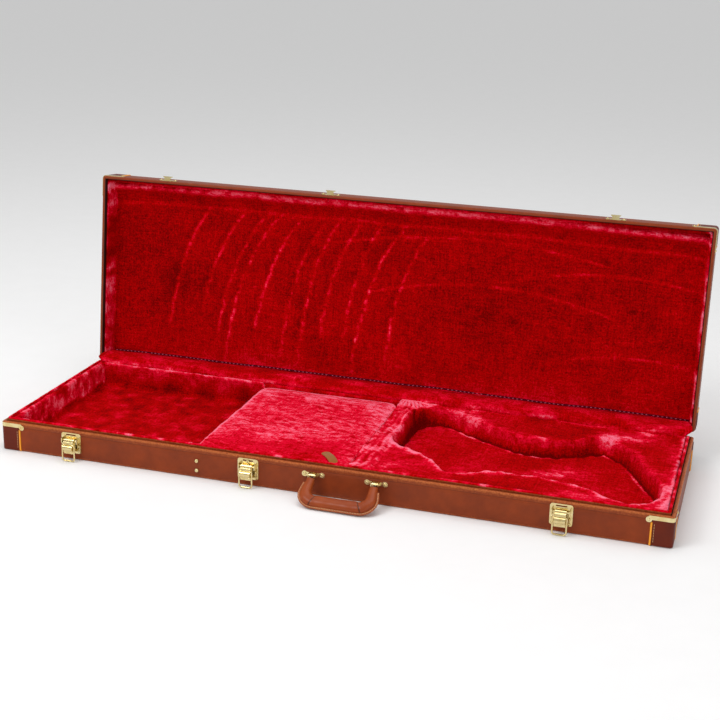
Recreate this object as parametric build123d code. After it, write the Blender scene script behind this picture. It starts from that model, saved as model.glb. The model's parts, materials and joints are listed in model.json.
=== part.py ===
from build123d import *
import math
import os

# Rectangular hardshell case for a solid-body electric guitar, lid open on its stay.
# Origin: centre of the underside. +X along the length, +Y to the hinge side, +Z up. Millimetres.

# ---- driving dimensions ----
case_length = 1080.0
case_width = 335.0
base_height = 49.0
lid_height = 46.0
open_angle = 96.5

wall = 6.5                 # base wall: plywood with its covering
lid_wall = 6.0             # lid wall, thinner so that it clears the tongue
panel = 4.0                # bottom and top panels
corner_radius = 5.0
rim_radius = 1.5
rim_gap = 0.4              # air between the closed lid and the base rim
tongue = 3.0               # thickness of the inner tongue
tongue_rise = 5.0          # height of the tongue above the rim
tongue_depth = 12.0        # its glued height below the rim

plush = 3.0                # wall linings
floor_pad = 5.0            # floor lining of the headstock compartment
lining_drop = 1.0          # wall linings stop this far under the rim
end_pad = 11.0             # thick pad on the left end wall
lid_pad = 6.0              # padded panel in the lid
lid_recess = 7.0           # bare strip inside the lid rim that the tongue enters
soft_gap = 0.5             # air around soft pieces

foam_top = 47.0
cavity_floor = 17.0
cavity_length = 429.0
tail_margin = 25.0         # foam between the cavity and the right end wall
mouth_overlap = 4.0        # how far the cavity's open end runs past the foam's left face
cavity_margin = 8.0        # least foam between the cavity and the tongue
cradle_length = 34.0
cradle_top = 50.0
saddle_dip = 5.0
saddle_width = 84.0
saddle_y = 35.0

box_length = 248.0         # accessory box, outside of its lid
box_cradle_gap = 2.0       # between the box's lid and the neck cradle
divider = 6.0
divider_inset = 5.0        # lid overhang past the left divider
box_lid_board = 3.0
box_lid_pad = 4.0
box_lid_top = 49.0
box_lid_gap = 4.0          # finger gap in front of the accessory lid
ledge_width = 14.0
ledge_height = 10.0
stud_radius = 3.2
stud_heights = (13.0, 29.0)

tab_width = 14.0
tab_length = 38.0
tab_thickness = 1.6
tab_turn = 40.0
tab_inset = 20.0           # from the right edge of the accessory lid

sheet = 1.2                # brass sheet of plates, brackets and leaves
latch_insets = (126.0, 161.0)   # outer latches from the left and right ends
middle_latch_inset = 94.5  # from the left edge of the accessory lid
plate_size = 34.0
plate_bottom = 11.5
plate_corner = 4.0
slot_height = 2.2          # slot over the lever, near the plate's top
slot_inset = 3.2
plate_rivet_inset = 4.0
plate_rivet_rows = (4.0, 12.0)  # rivet heights over the plate's bottom edge
ear_half = 4.0             # half height of an ear beside the lever
ear_reach = 3.4            # ear past the pin's centre
lever_width = 17.0
lever_knuckle = 3.6        # radius round the pin
upper_band = 4.4           # radii of the two rolled bands
lower_band = 5.2
upper_band_out = 8.6       # centre from the wall
upper_band_drop = 3.4      # centre under the pin
lower_band_drop = 4.3      # centre under the bail's pivot
lever_body_out = 8.4
lever_body = (8.6, 18.0)   # thickness and height between the bands and the lip
lever_body_z = 25.0
lever_body_corner = 1.5
lip_out = 8.0
lip = (6.0, 7.0)           # thickness and height of the thumb lip
lip_z = 16.2
lip_corner = 1.4
lever_pin_radius = 1.2
lever_pin_out = 5.5
lever_pin_z = 34.0
run_clearance = 0.05       # radial, for every turning fit
cheek = 1.5                # thickness of an ear
bail_wire = 1.3
bail_gap = 0.6             # beside the bail's legs
bail_grip = 2.0            # length of the bail's ends inside the lever
bail_socket = 2.3          # depth of the holes that they sit in
bail_out = 12.0
bail_z = 28.3
bail_length = 26.5
bail_corner = 4.0
plug_radius = 2.6
plug_rise = 1.6            # lock plug over the plate
plug_z = 41.0
keyway = (1.0, 3.4)        # width and height
keyway_depth = 1.4
bail_hook_out = 3.7        # how far from the wall the hooked wire lies
hook_clearance = 0.4       # beside the hook's shelf, between the bail's bent corners
hook_reach = 1.2           # shelf in front of the hooked wire
hook_lip = 1.8             # thickness of the upturned lip
hook_inset = 0.5           # the lip stops this far inside the lever's sides
hook_lip_rise = 3.4
catch_height = 10.0
catch_rim = 1.2            # catch plate over the lid's rim
catch_lobe = 4.2
catch_bar = 6.0            # height of the plate between its lobes
catch_rivet_x = 13.3
rivet_radius = 1.6
rivet_rise = 1.2

handle_x = 48.0
bracket_spacing = 100.0
handle_z = 35.0
handle_out = 5.5
handle_drop = 45.0         # pivot to grip centre
handle_tilt = 56.5         # swung out from hanging straight down
grip_width = 20.0
grip_thickness = 15.0
grip_radius = 7.0
grip_bend = 17.0
grip_splay = 4.0
leg_start = 8.0
core_radius = 2.2
bracket_length = 37.0
bracket_lobe = 4.6
bracket_bar = 6.0          # height of the bracket between its lobes, and of its ears
handle_pin_radius = 1.5
eye_radius = 3.2
eye_length = 10.0
ear_gap = 0.3
screw_radius = 2.6

hinge_inset = 140.0        # outer hinges from the ends
hinge_length = 50.0
hinge_out = 5.0
knuckle_radius = 3.4
hinge_pin_radius = 1.5
knuckle_gap = 0.3
leaf_height = 15.0

patch_reach = 32.0
patch = 0.8
piping_radius = 1.4
corner_plate = 1.0
corner_plate_reach = 36.0
corner_plate_height = 6.5
corner_lobe = 4.5
lobe_drop = 6.0            # from the strap's rim edge to the lobe's centre
foot_radius = 8.0
foot_rise = 7.0
foot_inset = 60.0
foot_height = 22.0

# ---- places worked out from the sizes ----
half_length = case_length / 2
half_width = case_width / 2
lid_rim = base_height + rim_gap
lid_top = lid_rim + lid_height
front = -half_width
hinge_y = half_width + hinge_out
hinge_z = base_height + rim_gap / 2
hinge_axis = Axis((0, hinge_y, hinge_z), (1, 0, 0))

inner_x = half_length - wall
inner_y = half_width - wall
clear_x = inner_x - tongue
clear_y = inner_y - tongue

cavity_right = half_length - wall - tongue - tail_margin
foam_left = cavity_right - cavity_length + mouth_overlap
cradle_left = foam_left - cradle_length
box_right = cradle_left - box_cradle_gap
box_left = box_right - box_length
left_divider_x = box_left + divider_inset
right_divider_x = box_right - divider_inset - divider
box_lid_bottom = box_lid_top - box_lid_pad - box_lid_board
box_lid_front = -clear_y + box_lid_gap
box_lid_back = clear_y - (box_lid_top - box_lid_bottom) - 2 * soft_gap   # room to swing up

base_lobe_z = base_height - rim_radius - lobe_drop
lid_lobe_z = lid_rim + rim_radius + lobe_drop

latch_positions = {
    "left": -half_length + latch_insets[0],
    "middle": box_left + middle_latch_inset,
    "right": half_length - latch_insets[1],
}
hinge_positions = (-half_length + hinge_inset, 0.0, half_length - hinge_inset)
bail_leg = lever_width / 2 + bail_gap + bail_wire    # centre of a leg from the latch's middle
cheek_inner = bail_leg + bail_wire + bail_gap        # the bail swings between the ears
hook_width = lever_width - 2 * hook_inset
shelf_width = 2 * (bail_leg - bail_corner - hook_clearance)
catch_z = lid_rim + catch_rim + catch_height / 2


# ---- helpers ----
def block(x0, x1, y0, y1, z0, z1):
    """Box between two corners."""
    low = (Align.MIN, Align.MIN, Align.MIN)
    return Pos(x0, y0, z0) * Box(x1 - x0, y1 - y0, z1 - z0, align=low)


def rod_x(x0, x1, y, z, radius):
    """Cylinder along X."""
    return Pos((x0 + x1) / 2, y, z) * Rot(0, 90, 0) * Cylinder(radius, x1 - x0)


def rod_y(x, z, y0, y1, radius):
    """Cylinder along Y."""
    return Pos(x, (y0 + y1) / 2, z) * Rot(90, 0, 0) * Cylinder(radius, y1 - y0)


def front_plate(face, x, z, thickness):
    """Flat piece standing on the front wall's outer face."""
    return Pos(x, front, z) * Rot(90, 0, 0) * extrude(face, thickness)


def on_lid(shape):
    """Carries a piece that is drawn on the closed lid to where the open lid holds it."""
    return shape.rotate(hinge_axis, -open_angle)


def group(solids):
    """Several loose solids in one node."""
    return Compound([solid for shape in solids for solid in shape.solids()])


def save(name, shape):
    """Writes one node."""
    export_step(shape, f"parts/{name}.step")


def outline(grow):
    """Plan of the case with its rounded corners, grown outwards."""
    return RectangleRounded(case_length + 2 * grow, case_width + 2 * grow, corner_radius + grow)


def corner_squares(reach, sides):
    """Plan squares at the corners, with sides as the signs of X and Y."""
    return [Pos(sx * half_length, sy * half_width) * Rectangle(2 * reach, 2 * reach) for sx, sy in sides]


def corner_wraps(reach, thickness, z0, z1, sides):
    """Thin wraps round the vertical corners of the case."""
    ring = outline(thickness) - outline(0)
    return [Pos(0, 0, z0) * extrude(ring & square, z1 - z0) for square in corner_squares(reach, sides)]


ALL_CORNERS = [(-1, -1), (1, -1), (-1, 1), (1, 1)]
FRONT_CORNERS = [(-1, -1), (1, -1)]


# ---- plywood shell of the base ----
def wall_box(x0, x1, y0, y1, z0, z1):
    """A wall with its corners rounded as the whole case is, by the plan outline."""
    return block(x0, x1, y0, y1, z0, z1) & (Pos(0, 0, z0) * extrude(outline(0), z1 - z0))


def base_shell():
    """Bottom panel, four walls and the tongue that guides the lid."""
    rim = base_height
    save("base_bottom_panel", extrude(outline(0), panel))
    save("base_front_wall", wall_box(-half_length, half_length, -half_width, -inner_y, panel, rim))
    save("base_back_wall", wall_box(-half_length, half_length, inner_y, half_width, panel, rim))
    save("base_left_wall", block(-half_length, -inner_x, -inner_y, inner_y, panel, rim))
    save("base_right_wall", block(inner_x, half_length, -inner_y, inner_y, panel, rim))
    z0 = rim - tongue_depth
    z1 = rim + tongue_rise
    strips = [
        block(-inner_x, inner_x, -inner_y, -clear_y, z0, z1),
        block(-inner_x, inner_x, clear_y, inner_y, z0, z1),
        block(-inner_x, -clear_x, -clear_y, clear_y, z0, z1),
        block(clear_x, inner_x, -clear_y, clear_y, z0, z1),
    ]
    save("base_tongue", group(strips))


# ---- plywood shell of the lid, drawn closed ----
def lid_shell():
    """Top panel and four walls of the lid."""
    z0 = lid_rim
    z1 = lid_top - panel
    inside_x = half_length - lid_wall
    inside_y = half_width - lid_wall
    save("lid_top_panel", on_lid(Pos(0, 0, z1) * extrude(outline(0), panel)))
    save("lid_front_wall", on_lid(wall_box(-half_length, half_length, -half_width, -inside_y, z0, z1)))
    save("lid_back_wall", on_lid(wall_box(-half_length, half_length, inside_y, half_width, z0, z1)))
    save("lid_left_wall", on_lid(block(-half_length, -inside_x, -inside_y, inside_y, z0, z1)))
    save("lid_right_wall", on_lid(block(inside_x, half_length, -inside_y, inside_y, z0, z1)))

    lining_low = z0 + lid_recess
    lining_top = z1 - lid_pad
    save("lid_panel_pad", on_lid(block(-inside_x, inside_x, -inside_y, inside_y, lining_top, z1)))
    side_x = inside_x - plush
    side_y = inside_y - plush
    sides = [
        block(-side_x, side_x, -inside_y, -side_y, lining_low, lining_top),
        block(-inside_x, -side_x, -inside_y, inside_y, lining_low, lining_top),
        block(side_x, inside_x, -inside_y, inside_y, lining_low, lining_top),
    ]
    save("lid_wall_linings", on_lid(group(sides)))
    flap = block(-side_x, side_x, side_y, inside_y, lining_low, lining_top)
    save("lid_hinge_flap", on_lid(flap))


# ---- plush linings of the base ----
def cavity_face():
    """Plan of the recess for a double-cutaway body, as shares of its length and half width."""
    shape = [
        (-0.012, 0.30), (-0.010, 0.66), (0.085, 0.98), (0.23, 0.85), (0.37, 0.61), (0.51, 0.49),
        (0.655, 0.59), (0.767, 0.75), (0.86, 0.51), (0.93, 0.12), (0.993, -0.27), (0.995, -0.73),
        (0.93, -0.907), (0.795, -0.73), (0.64, -0.57), (0.49, -0.54), (0.37, -0.64), (0.285, -0.75),
        (0.23, -0.61), (0.16, -0.39), (0.07, -0.24), (0.005, -0.04),
    ]
    left = cavity_right - cavity_length
    reach = clear_y - cavity_margin
    points = [(left + share * cavity_length, side * reach) for share, side in shape]
    return make_face(Spline(*points, periodic=True))


def base_linings():
    """Floor pads, wall linings, cradle and the foam that holds the body."""
    tongue_low = base_height - tongue_depth
    floor_top = panel + floor_pad
    left_face = -inner_x
    save("headstock_floor_pad", block(left_face, left_divider_x, -inner_y, inner_y, panel, floor_top))
    pad = block(left_face, left_face + end_pad, -clear_y, clear_y, floor_top, base_height)
    pad = pad - block(left_face, -clear_x, -clear_y, clear_y, tongue_low, base_height)
    save("left_end_pad", pad)
    x0 = left_face + end_pad
    x1 = box_left - 2 * soft_gap      # clear of the accessory lid's overhang
    top = base_height - lining_drop
    strips = [
        block(x0, x1, -clear_y, -clear_y + plush, floor_top, top),
        block(x0, x1, clear_y - plush, clear_y, floor_top, top),
    ]
    save("headstock_wall_linings", group(strips))

    save("body_floor_pad", block(cradle_left, inner_x, -inner_y, inner_y, panel, cavity_floor))
    foam = block(foam_left, clear_x, -clear_y, clear_y, cavity_floor, foam_top)
    foam = foam - Pos(0, 0, cavity_floor) * extrude(cavity_face(), foam_top - cavity_floor)
    save("body_foam", foam)

    cradle = block(cradle_left, foam_left, -clear_y, clear_y, cavity_floor, cradle_top)
    saddle_radius = ((saddle_width / 2) ** 2 + saddle_dip ** 2) / (2 * saddle_dip)
    saddle_z = cradle_top - saddle_dip + saddle_radius
    save("neck_cradle", cradle - rod_x(cradle_left - 1, foam_left + 1, saddle_y, saddle_z, saddle_radius))


# ---- accessory box under the neck ----
def accessory_box():
    """Dividers, ledge and floor of the box, and its padded lid with a pull tab."""
    top = box_lid_bottom - soft_gap / 2
    for name, x in (("left", left_divider_x), ("right", right_divider_x)):
        board = block(x, x + divider, -inner_y, inner_y, panel, base_height - tongue_depth)
        board += block(x, x + divider, -clear_y, clear_y, panel, top)
        save(f"accessory_{name}_divider", board)
    x0 = left_divider_x + divider
    save("accessory_floor_pad", block(x0, right_divider_x, -inner_y, inner_y, panel, panel + plush))
    ledge = block(x0, right_divider_x, clear_y - ledge_width, clear_y, top - ledge_height, top)
    save("accessory_lid_ledge", ledge)

    z0 = box_lid_bottom
    z1 = z0 + box_lid_board
    save("accessory_lid_board", block(box_left, box_right, box_lid_front, box_lid_back, z0, z1))
    save("accessory_lid_pad", block(box_left, box_right, box_lid_front, box_lid_back, z1, box_lid_top))
    tab = block(-tab_width / 2, tab_width / 2, 0, tab_length, 0, tab_thickness)
    tab_y = box_lid_front + tab_width / 2
    save("accessory_pull_tab", Pos(box_right - tab_inset, tab_y, box_lid_top) * Rot(0, 0, tab_turn) * tab)
    x = left_divider_x + divider / 2
    reach = 2 * stud_radius
    studs = []
    for z in stud_heights:
        outside = block(x - reach, x + reach, front - reach, front, z - reach, z + reach)
        studs.append(Pos(x, front, z) * Sphere(stud_radius) & outside)
    save("divider_studs", group(studs))


# ---- draw latches ----
def lever_profile():
    """Side view of a lever: knuckle round the pin, two rolled bands and a thumb lip."""
    knuckle = Pos(front - lever_pin_out, lever_pin_z) * Circle(lever_knuckle)
    upper = Pos(front - upper_band_out, lever_pin_z - upper_band_drop) * Circle(upper_band)
    lower = Pos(front - bail_out, bail_z - lower_band_drop) * Circle(lower_band)
    thumb = Pos(front - lip_out, lip_z) * RectangleRounded(*lip, lip_corner)
    body = Pos(front - lever_body_out, lever_body_z) * RectangleRounded(*lever_body, lever_body_corner)
    return knuckle + upper + lower + thumb + body


def bail_path(x):
    """Centre line of the bail's wire, hanging straight down."""
    y = front - bail_out
    end = lever_width / 2 - bail_grip
    low = bail_z - bail_length
    points = [(x - end, y, bail_z), (x - bail_leg, y, bail_z), (x - bail_leg, y, low)]
    points += [(x + bail_leg, y, low), (x + bail_leg, y, bail_z), (x + end, y, bail_z)]
    tight = 1.15 * bail_wire
    return FilletPolyline(*points, radius=[tight, bail_corner, bail_corner, tight])


def rivet_heads(places, y):
    """Low round heads on a front face, at places as X and Z."""
    return [rod_y(x, z, y - rivet_rise, y, rivet_radius) for x, z in places]


def latch(name, x):
    """One draw latch: plate with ears, lever, bail, and a lock plug in the middle one."""
    locking = name == "middle"
    slot = Pos(0, plate_size / 2 - slot_inset) * SlotOverall(lever_width, slot_height)
    face = RectangleRounded(plate_size, plate_size, plate_corner) - slot
    middle_z = plate_bottom + plate_size / 2
    plug_offset = Pos(0, plug_z - middle_z)
    if locking:
        face = face - plug_offset * Circle(plug_radius + run_clearance)
    plate = front_plate(face, x, middle_z, sheet)
    ear_low = lever_pin_z - ear_half
    ear = block(0, cheek, -lever_pin_out - ear_reach, -sheet, ear_low, ear_low + 2 * ear_half)
    plate += Pos(x + cheek_inner, front, 0) * ear
    plate += Pos(x - cheek_inner - cheek, front, 0) * ear
    pin_half = cheek_inner + cheek
    pin_y = front - lever_pin_out
    pin = rod_x(x - pin_half, x + pin_half, pin_y, lever_pin_z, lever_pin_radius)
    save(f"latch_plate_{name}", plate - pin)

    lever = Pos(x - lever_width / 2, 0, 0) * extrude(Plane.YZ * lever_profile(), lever_width)
    bore = rod_x(x - pin_half, x + pin_half, pin_y, lever_pin_z, lever_pin_radius + run_clearance)
    lever = lever - bore
    for side in (-1, 1):
        outer = x + side * lever_width / 2
        inner = outer - side * bail_socket
        start, end = sorted((outer + side * bail_gap, inner))
        lever = lever - rod_x(start, end, front - bail_out, bail_z, bail_wire + run_clearance)
    save(f"latch_lever_{name}", lever)

    path = bail_path(x)
    section = Plane(origin=path @ 0, z_dir=path % 0) * Circle(bail_wire)
    save(f"latch_bail_{name}", sweep(section, path=path))
    if locking:
        face_y = front - sheet - plug_rise
        plug = rod_y(x, plug_z, face_y, front, plug_radius)
        half_x, half_z = keyway[0] / 2, keyway[1] / 2
        slit = block(x - half_x, x + half_x, face_y, face_y + keyway_depth, plug_z - half_z, plug_z + half_z)
        save("lock_plug", plug - slit)
    return pin


def latches():
    """The three latches, their pins and their rivets."""
    pins = [latch(name, x) for name, x in latch_positions.items()]
    save("latch_pins", group(pins))
    places = []
    reach = plate_size / 2 - plate_rivet_inset
    for x in latch_positions.values():
        for side in (-1, 1):
            places += [(x + side * reach, plate_bottom + row) for row in plate_rivet_rows]
    save("base_rivets", group(rivet_heads(places, front - sheet) + corner_rivets(base_lobe_z)))


def catch(x):
    """Riveted plate on the lid's front rim with an upturned hook for the bail."""
    lobe = Circle(catch_lobe)
    face = Rectangle(2 * catch_rivet_x, catch_bar)
    face += Pos(-catch_rivet_x, 0) * lobe + Pos(catch_rivet_x, 0) * lobe
    face += Rectangle(hook_width, catch_height)
    plate = front_plate(face, x, catch_z, sheet)
    hooked_z = bail_z + math.sqrt(bail_length ** 2 - (bail_out - bail_hook_out) ** 2)
    seat = hooked_z - bail_wire - run_clearance
    out = front - bail_hook_out - bail_wire - hook_reach - hook_lip
    low = catch_z - catch_height / 2
    shelf = block(x - shelf_width / 2, x + shelf_width / 2, out, front - sheet, low, seat)
    lip_x0, lip_x1 = x - hook_width / 2, x + hook_width / 2
    return plate + shelf + block(lip_x0, lip_x1, out, out + hook_lip, low, seat + hook_lip_rise)


def catches():
    """Catches and their rivets, on the lid."""
    places = []
    for x in latch_positions.values():
        places += [(x - catch_rivet_x, catch_z), (x + catch_rivet_x, catch_z)]
    save("lid_catches", on_lid(group([catch(x) for x in latch_positions.values()])))
    heads = rivet_heads(places, front - sheet) + corner_rivets(lid_lobe_z)
    save("lid_rivets", on_lid(group(heads)))


# ---- handle ----
def tilted(shape):
    """Swings a piece of the handle out from hanging straight down."""
    axis = Axis((0, front - handle_out, handle_z), (1, 0, 0))
    return shape.rotate(axis, -handle_tilt)


def handle_path(start):
    """Centre line of the handle, from one leg to the other."""
    y = front - handle_out
    half = bracket_spacing / 2
    wide = half + grip_splay
    low = handle_z - handle_drop
    points = [(handle_x - half, y, handle_z - start), (handle_x - wide, y, low)]
    points += [(handle_x + wide, y, low), (handle_x + half, y, handle_z - start)]
    return FilletPolyline(*points, radius=grip_bend)


def handle():
    """Brackets with pins, and the swinging grip with its steel core and eyes."""
    pivot_y = front - handle_out
    pins = []
    eyes = []
    brackets = []
    for x in (handle_x - bracket_spacing / 2, handle_x + bracket_spacing / 2):
        lobe_x = bracket_length / 2 - bracket_lobe
        face = Rectangle(2 * lobe_x, bracket_bar)
        face += Pos(-lobe_x, 0) * Circle(bracket_lobe)
        face += Pos(lobe_x, 0) * Circle(bracket_lobe)
        bracket = front_plate(face, x, handle_z, sheet)
        inner = eye_length / 2 + ear_gap
        half = bracket_bar / 2
        z0, z1 = handle_z - half, handle_z + half
        for start in (x + inner, x - inner - sheet):
            bracket += block(start, start + sheet, pivot_y - half, front - sheet, z0, z1)
        reach = inner + sheet
        pin = rod_x(x - reach, x + reach, pivot_y, handle_z, handle_pin_radius)
        brackets.append(bracket - pin)
        pins.append(pin)
        eye = rod_x(x - eye_length / 2, x + eye_length / 2, pivot_y, handle_z, eye_radius)
        bore = rod_x(x - eye_length, x + eye_length, pivot_y, handle_z, handle_pin_radius + run_clearance)
        eyes.append((eye, bore))
    save("handle_brackets", group(brackets))
    save("handle_pins", group(pins))

    core_path = handle_path(0)
    core_plane = Plane(origin=core_path @ 0, z_dir=core_path % 0)
    core = sweep(core_plane * Circle(core_radius), path=core_path)
    cover_path = handle_path(leg_start)
    cover_plane = Plane(origin=cover_path @ 0, x_dir=(0, 1, 0), z_dir=cover_path % 0)
    cover_face = cover_plane * RectangleRounded(grip_thickness, grip_width, grip_radius)
    cover = sweep(cover_face, path=cover_path) - core
    save("handle_cover", tilted(cover))
    for eye, bore in eyes:
        core = core - eye
    save("handle_core", tilted(core))
    save("handle_eyes", tilted(group([eye - bore for eye, bore in eyes])))

    places = []
    for side in (-1, 1):
        for lobe_side in (-1, 1):
            x = handle_x + side * bracket_spacing / 2 + lobe_side * (bracket_length / 2 - bracket_lobe)
            places.append(x)
    screws = [rod_y(x, handle_z, front - sheet - rivet_rise, front - sheet, screw_radius) for x in places]
    save("handle_screws", group(screws))


# ---- hinges at the back ----
def leaf(x, low, high, spans, bore_radius, web_low, web_high):
    """One hinge leaf: plate on the back wall, with its knuckles over the given spans of X."""
    plate = block(x - hinge_length / 2, x + hinge_length / 2, half_width, half_width + sheet, low, high)
    for x0, x1 in spans:
        plate += rod_x(x0, x1, hinge_y, hinge_z, knuckle_radius)
        plate += block(x0, x1, half_width, hinge_y, web_low, web_high)
    return plate - rod_x(x - hinge_length, x + hinge_length, hinge_y, hinge_z, bore_radius)


def hinges():
    """Three butt hinges with fixed pins."""
    third = hinge_length / 3
    r = knuckle_radius
    pins = []
    base_leaves = []
    lid_leaves = []
    for x in hinge_positions:
        spans = [(x - hinge_length / 2, x - third / 2 - knuckle_gap)]
        spans.append((x + third / 2 + knuckle_gap, x + hinge_length / 2))
        low = hinge_z - r - leaf_height
        base = leaf(x, low, hinge_z - r + sheet, spans, hinge_pin_radius, hinge_z - r, hinge_z - r + sheet)
        base_leaves.append(base)
        bore = hinge_pin_radius + run_clearance
        high = hinge_z + r + leaf_height
        lid_span = [(x - third / 2, x + third / 2)]
        top = leaf(x, hinge_z + r - sheet, high, lid_span, bore, hinge_z + r - sheet, hinge_z + r)
        lid_leaves.append(top)
        pins.append(rod_x(x - hinge_length / 2, x + hinge_length / 2, hinge_y, hinge_z, hinge_pin_radius))
    save("hinge_base_leaves", group(base_leaves))
    save("hinge_lid_leaves", on_lid(group(lid_leaves)))
    save("hinge_pins", group(pins))


# ---- corner trim and feet ----
def piping(z0, z1):
    """Half-round welts along both upright edges of every corner patch."""
    welts = []
    block_out = Pos(0, 0, z0) * extrude(outline(0), z1 - z0)
    for sx, sy in ALL_CORNERS:
        x = sx * (half_length - patch_reach)
        y = sy * (half_width - patch_reach)
        for px, py in ((x, sy * half_width), (sx * half_length, y)):
            welt = Pos(px, py, (z0 + z1) / 2) * Cylinder(piping_radius, z1 - z0)
            welts.append(welt - block_out)
    return group(welts)


def corner_plates(z0, z1, lobe_z):
    """Brass straps round the front corners at the rim, each arm ending in a round lobe."""
    plates = []
    straps = corner_wraps(corner_plate_reach, corner_plate, z0, z1, FRONT_CORNERS)
    for (sx, _), strap in zip(FRONT_CORNERS, straps):
        lobe_x = sx * (half_length - corner_plate_reach)
        strap += rod_y(lobe_x, lobe_z, front - corner_plate, front, corner_lobe)
        x0, x1 = sorted((sx * half_length, sx * (half_length + corner_plate)))
        strap += rod_x(x0, x1, front + corner_plate_reach, lobe_z, corner_lobe)
        plates.append(strap)
    return group(plates)


def corner_rivets(lobe_z):
    """A rivet in each lobe of the corner plates."""
    heads = []
    y = front - corner_plate
    for sx, _ in FRONT_CORNERS:
        heads.append(rod_y(sx * (half_length - corner_plate_reach), lobe_z, y - rivet_rise, y, rivet_radius))
        x0, x1 = sorted((sx * (half_length + corner_plate), sx * (half_length + corner_plate + rivet_rise)))
        heads.append(rod_x(x0, x1, front + corner_plate_reach, lobe_z, rivet_radius))
    return heads


def feet(z):
    """Two domed feet on the hinge side."""
    domes = []
    ball = (foot_radius ** 2 + foot_rise ** 2) / (2 * foot_rise)
    reach = 2 * foot_radius
    for side in (-1, 1):
        x = side * (half_length - foot_inset)
        dome = Pos(x, half_width + foot_rise - ball, z) * Sphere(ball)
        outside = block(x - reach, x + reach, half_width, half_width + reach, z - reach, z + reach)
        domes.append(dome & outside)
    return group(domes)


def trim():
    """Corner patches, piping, brass corners and feet of the base and of the lid."""
    reach = patch_reach - piping_radius
    strap_high = base_height - rim_radius
    strap_low = strap_high - corner_plate_height
    save("base_corner_patches", group(corner_wraps(reach, patch, rim_radius, strap_low, ALL_CORNERS)))
    save("base_corner_piping", piping(rim_radius, base_lobe_z - corner_lobe))
    save("base_corner_plates", corner_plates(strap_low, strap_high, base_lobe_z))
    save("base_feet", feet(foot_height))

    strap_low = lid_rim + rim_radius
    strap_high = strap_low + corner_plate_height
    patch_top = lid_top - rim_radius
    patches = group(corner_wraps(reach, patch, strap_high, patch_top, ALL_CORNERS))
    save("lid_corner_patches", on_lid(patches))
    save("lid_corner_piping", on_lid(piping(lid_lobe_z + corner_lobe, patch_top)))
    save("lid_corner_plates", on_lid(corner_plates(strap_low, strap_high, lid_lobe_z)))
    save("lid_feet", on_lid(feet(lid_rim + foot_height)))


os.makedirs("parts", exist_ok=True)
base_shell()
lid_shell()
base_linings()
accessory_box()
latches()
catches()
handle()
hinges()
trim()
print("nodes written:", len(os.listdir("parts")))
print("hinge axis at y, z:", round(hinge_y, 2), round(hinge_z, 2))
print("opened lid's top edge is near z:", round(hinge_z + case_width * math.sin(math.radians(open_angle)), 1))
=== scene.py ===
# %% [markdown]
# # An electric guitar's hard case, with its lid open
# The case is a shallow plywood box covered in brown vinyl cloth. Its lid leans back on its hinges, and
# everything inside is lined with red pile fabric over foam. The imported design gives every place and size,
# so each piece below is worked out from it, in metres, with +X along the case and +Y to the hinges.

# %% Load the design
import json
import math

import bmesh
import bpy
import numpy as np
from mathutils import Matrix, Vector, noise
from mathutils.bvhtree import BVHTree


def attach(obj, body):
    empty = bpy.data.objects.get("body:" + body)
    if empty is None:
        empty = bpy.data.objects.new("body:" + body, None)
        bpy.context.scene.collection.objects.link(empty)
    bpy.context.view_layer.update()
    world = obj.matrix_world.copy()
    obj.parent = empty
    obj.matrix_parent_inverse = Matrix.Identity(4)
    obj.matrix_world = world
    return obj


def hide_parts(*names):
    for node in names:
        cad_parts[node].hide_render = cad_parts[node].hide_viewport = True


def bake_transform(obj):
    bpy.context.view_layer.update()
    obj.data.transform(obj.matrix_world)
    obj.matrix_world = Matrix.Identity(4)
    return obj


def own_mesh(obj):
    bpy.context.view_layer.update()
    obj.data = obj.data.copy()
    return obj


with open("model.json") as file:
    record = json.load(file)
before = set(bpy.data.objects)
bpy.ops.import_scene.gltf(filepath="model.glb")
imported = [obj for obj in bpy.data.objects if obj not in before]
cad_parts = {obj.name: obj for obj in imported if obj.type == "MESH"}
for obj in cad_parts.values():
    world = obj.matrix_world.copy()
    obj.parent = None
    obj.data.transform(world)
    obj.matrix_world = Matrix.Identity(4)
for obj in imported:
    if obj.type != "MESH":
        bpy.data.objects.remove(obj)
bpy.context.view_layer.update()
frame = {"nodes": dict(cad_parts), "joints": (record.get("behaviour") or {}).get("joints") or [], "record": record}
joints = {joint["name"]: joint for joint in frame["joints"]}

# %% [markdown]
# The lid is drawn lying closed on the case, because every one of its lines is then level, and is swung
# open afterwards about its hinge. The hinge's place and its travel come from the design's own joint.

# %% Swing between the closed and the open lid
MM = 0.001
hinge = np.array(joints["lid_hinge"]["pos_m"])
open_angle = math.radians(-joints["lid_hinge"]["range_deg"][0])


def swing(points, angle):
    """Turns points about the lid's hinge. A positive angle opens."""
    flat = np.asarray(points, float) - hinge
    c, s = math.cos(angle), math.sin(angle)
    across, up = flat[:, 1] * c + flat[:, 2] * s, flat[:, 2] * c - flat[:, 1] * s
    return np.column_stack([flat[:, 0], across, up]) + hinge


def corners_of(*nodes, closed=False):
    """Lowest and highest corner of some design nodes, for the lid's own nodes as if it were closed."""
    points = np.array([v.co for node in nodes for v in frame["nodes"][node].data.vertices])
    if closed:
        points = swing(points, -open_angle)
    return points.min(axis=0), points.max(axis=0)


base_low, base_high = corners_of("base_bottom_panel", "base_front_wall", "base_back_wall")
lid_low, lid_high = corners_of("lid_top_panel", "lid_front_wall", "lid_back_wall", closed=True)
wall = float(np.diff([p[1] for p in corners_of("base_front_wall")])[0])
lid_wall = float(np.diff([p[1] for p in corners_of("lid_front_wall", closed=True)])[0])
panel = float(np.diff([p[2] for p in corners_of("base_bottom_panel")])[0])
print("base", np.round(base_high - base_low, 4), "lid", np.round(lid_high - lid_low, 4))
print("walls", round(wall, 4), round(lid_wall, 4), "bottom", round(panel, 4))

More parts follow.
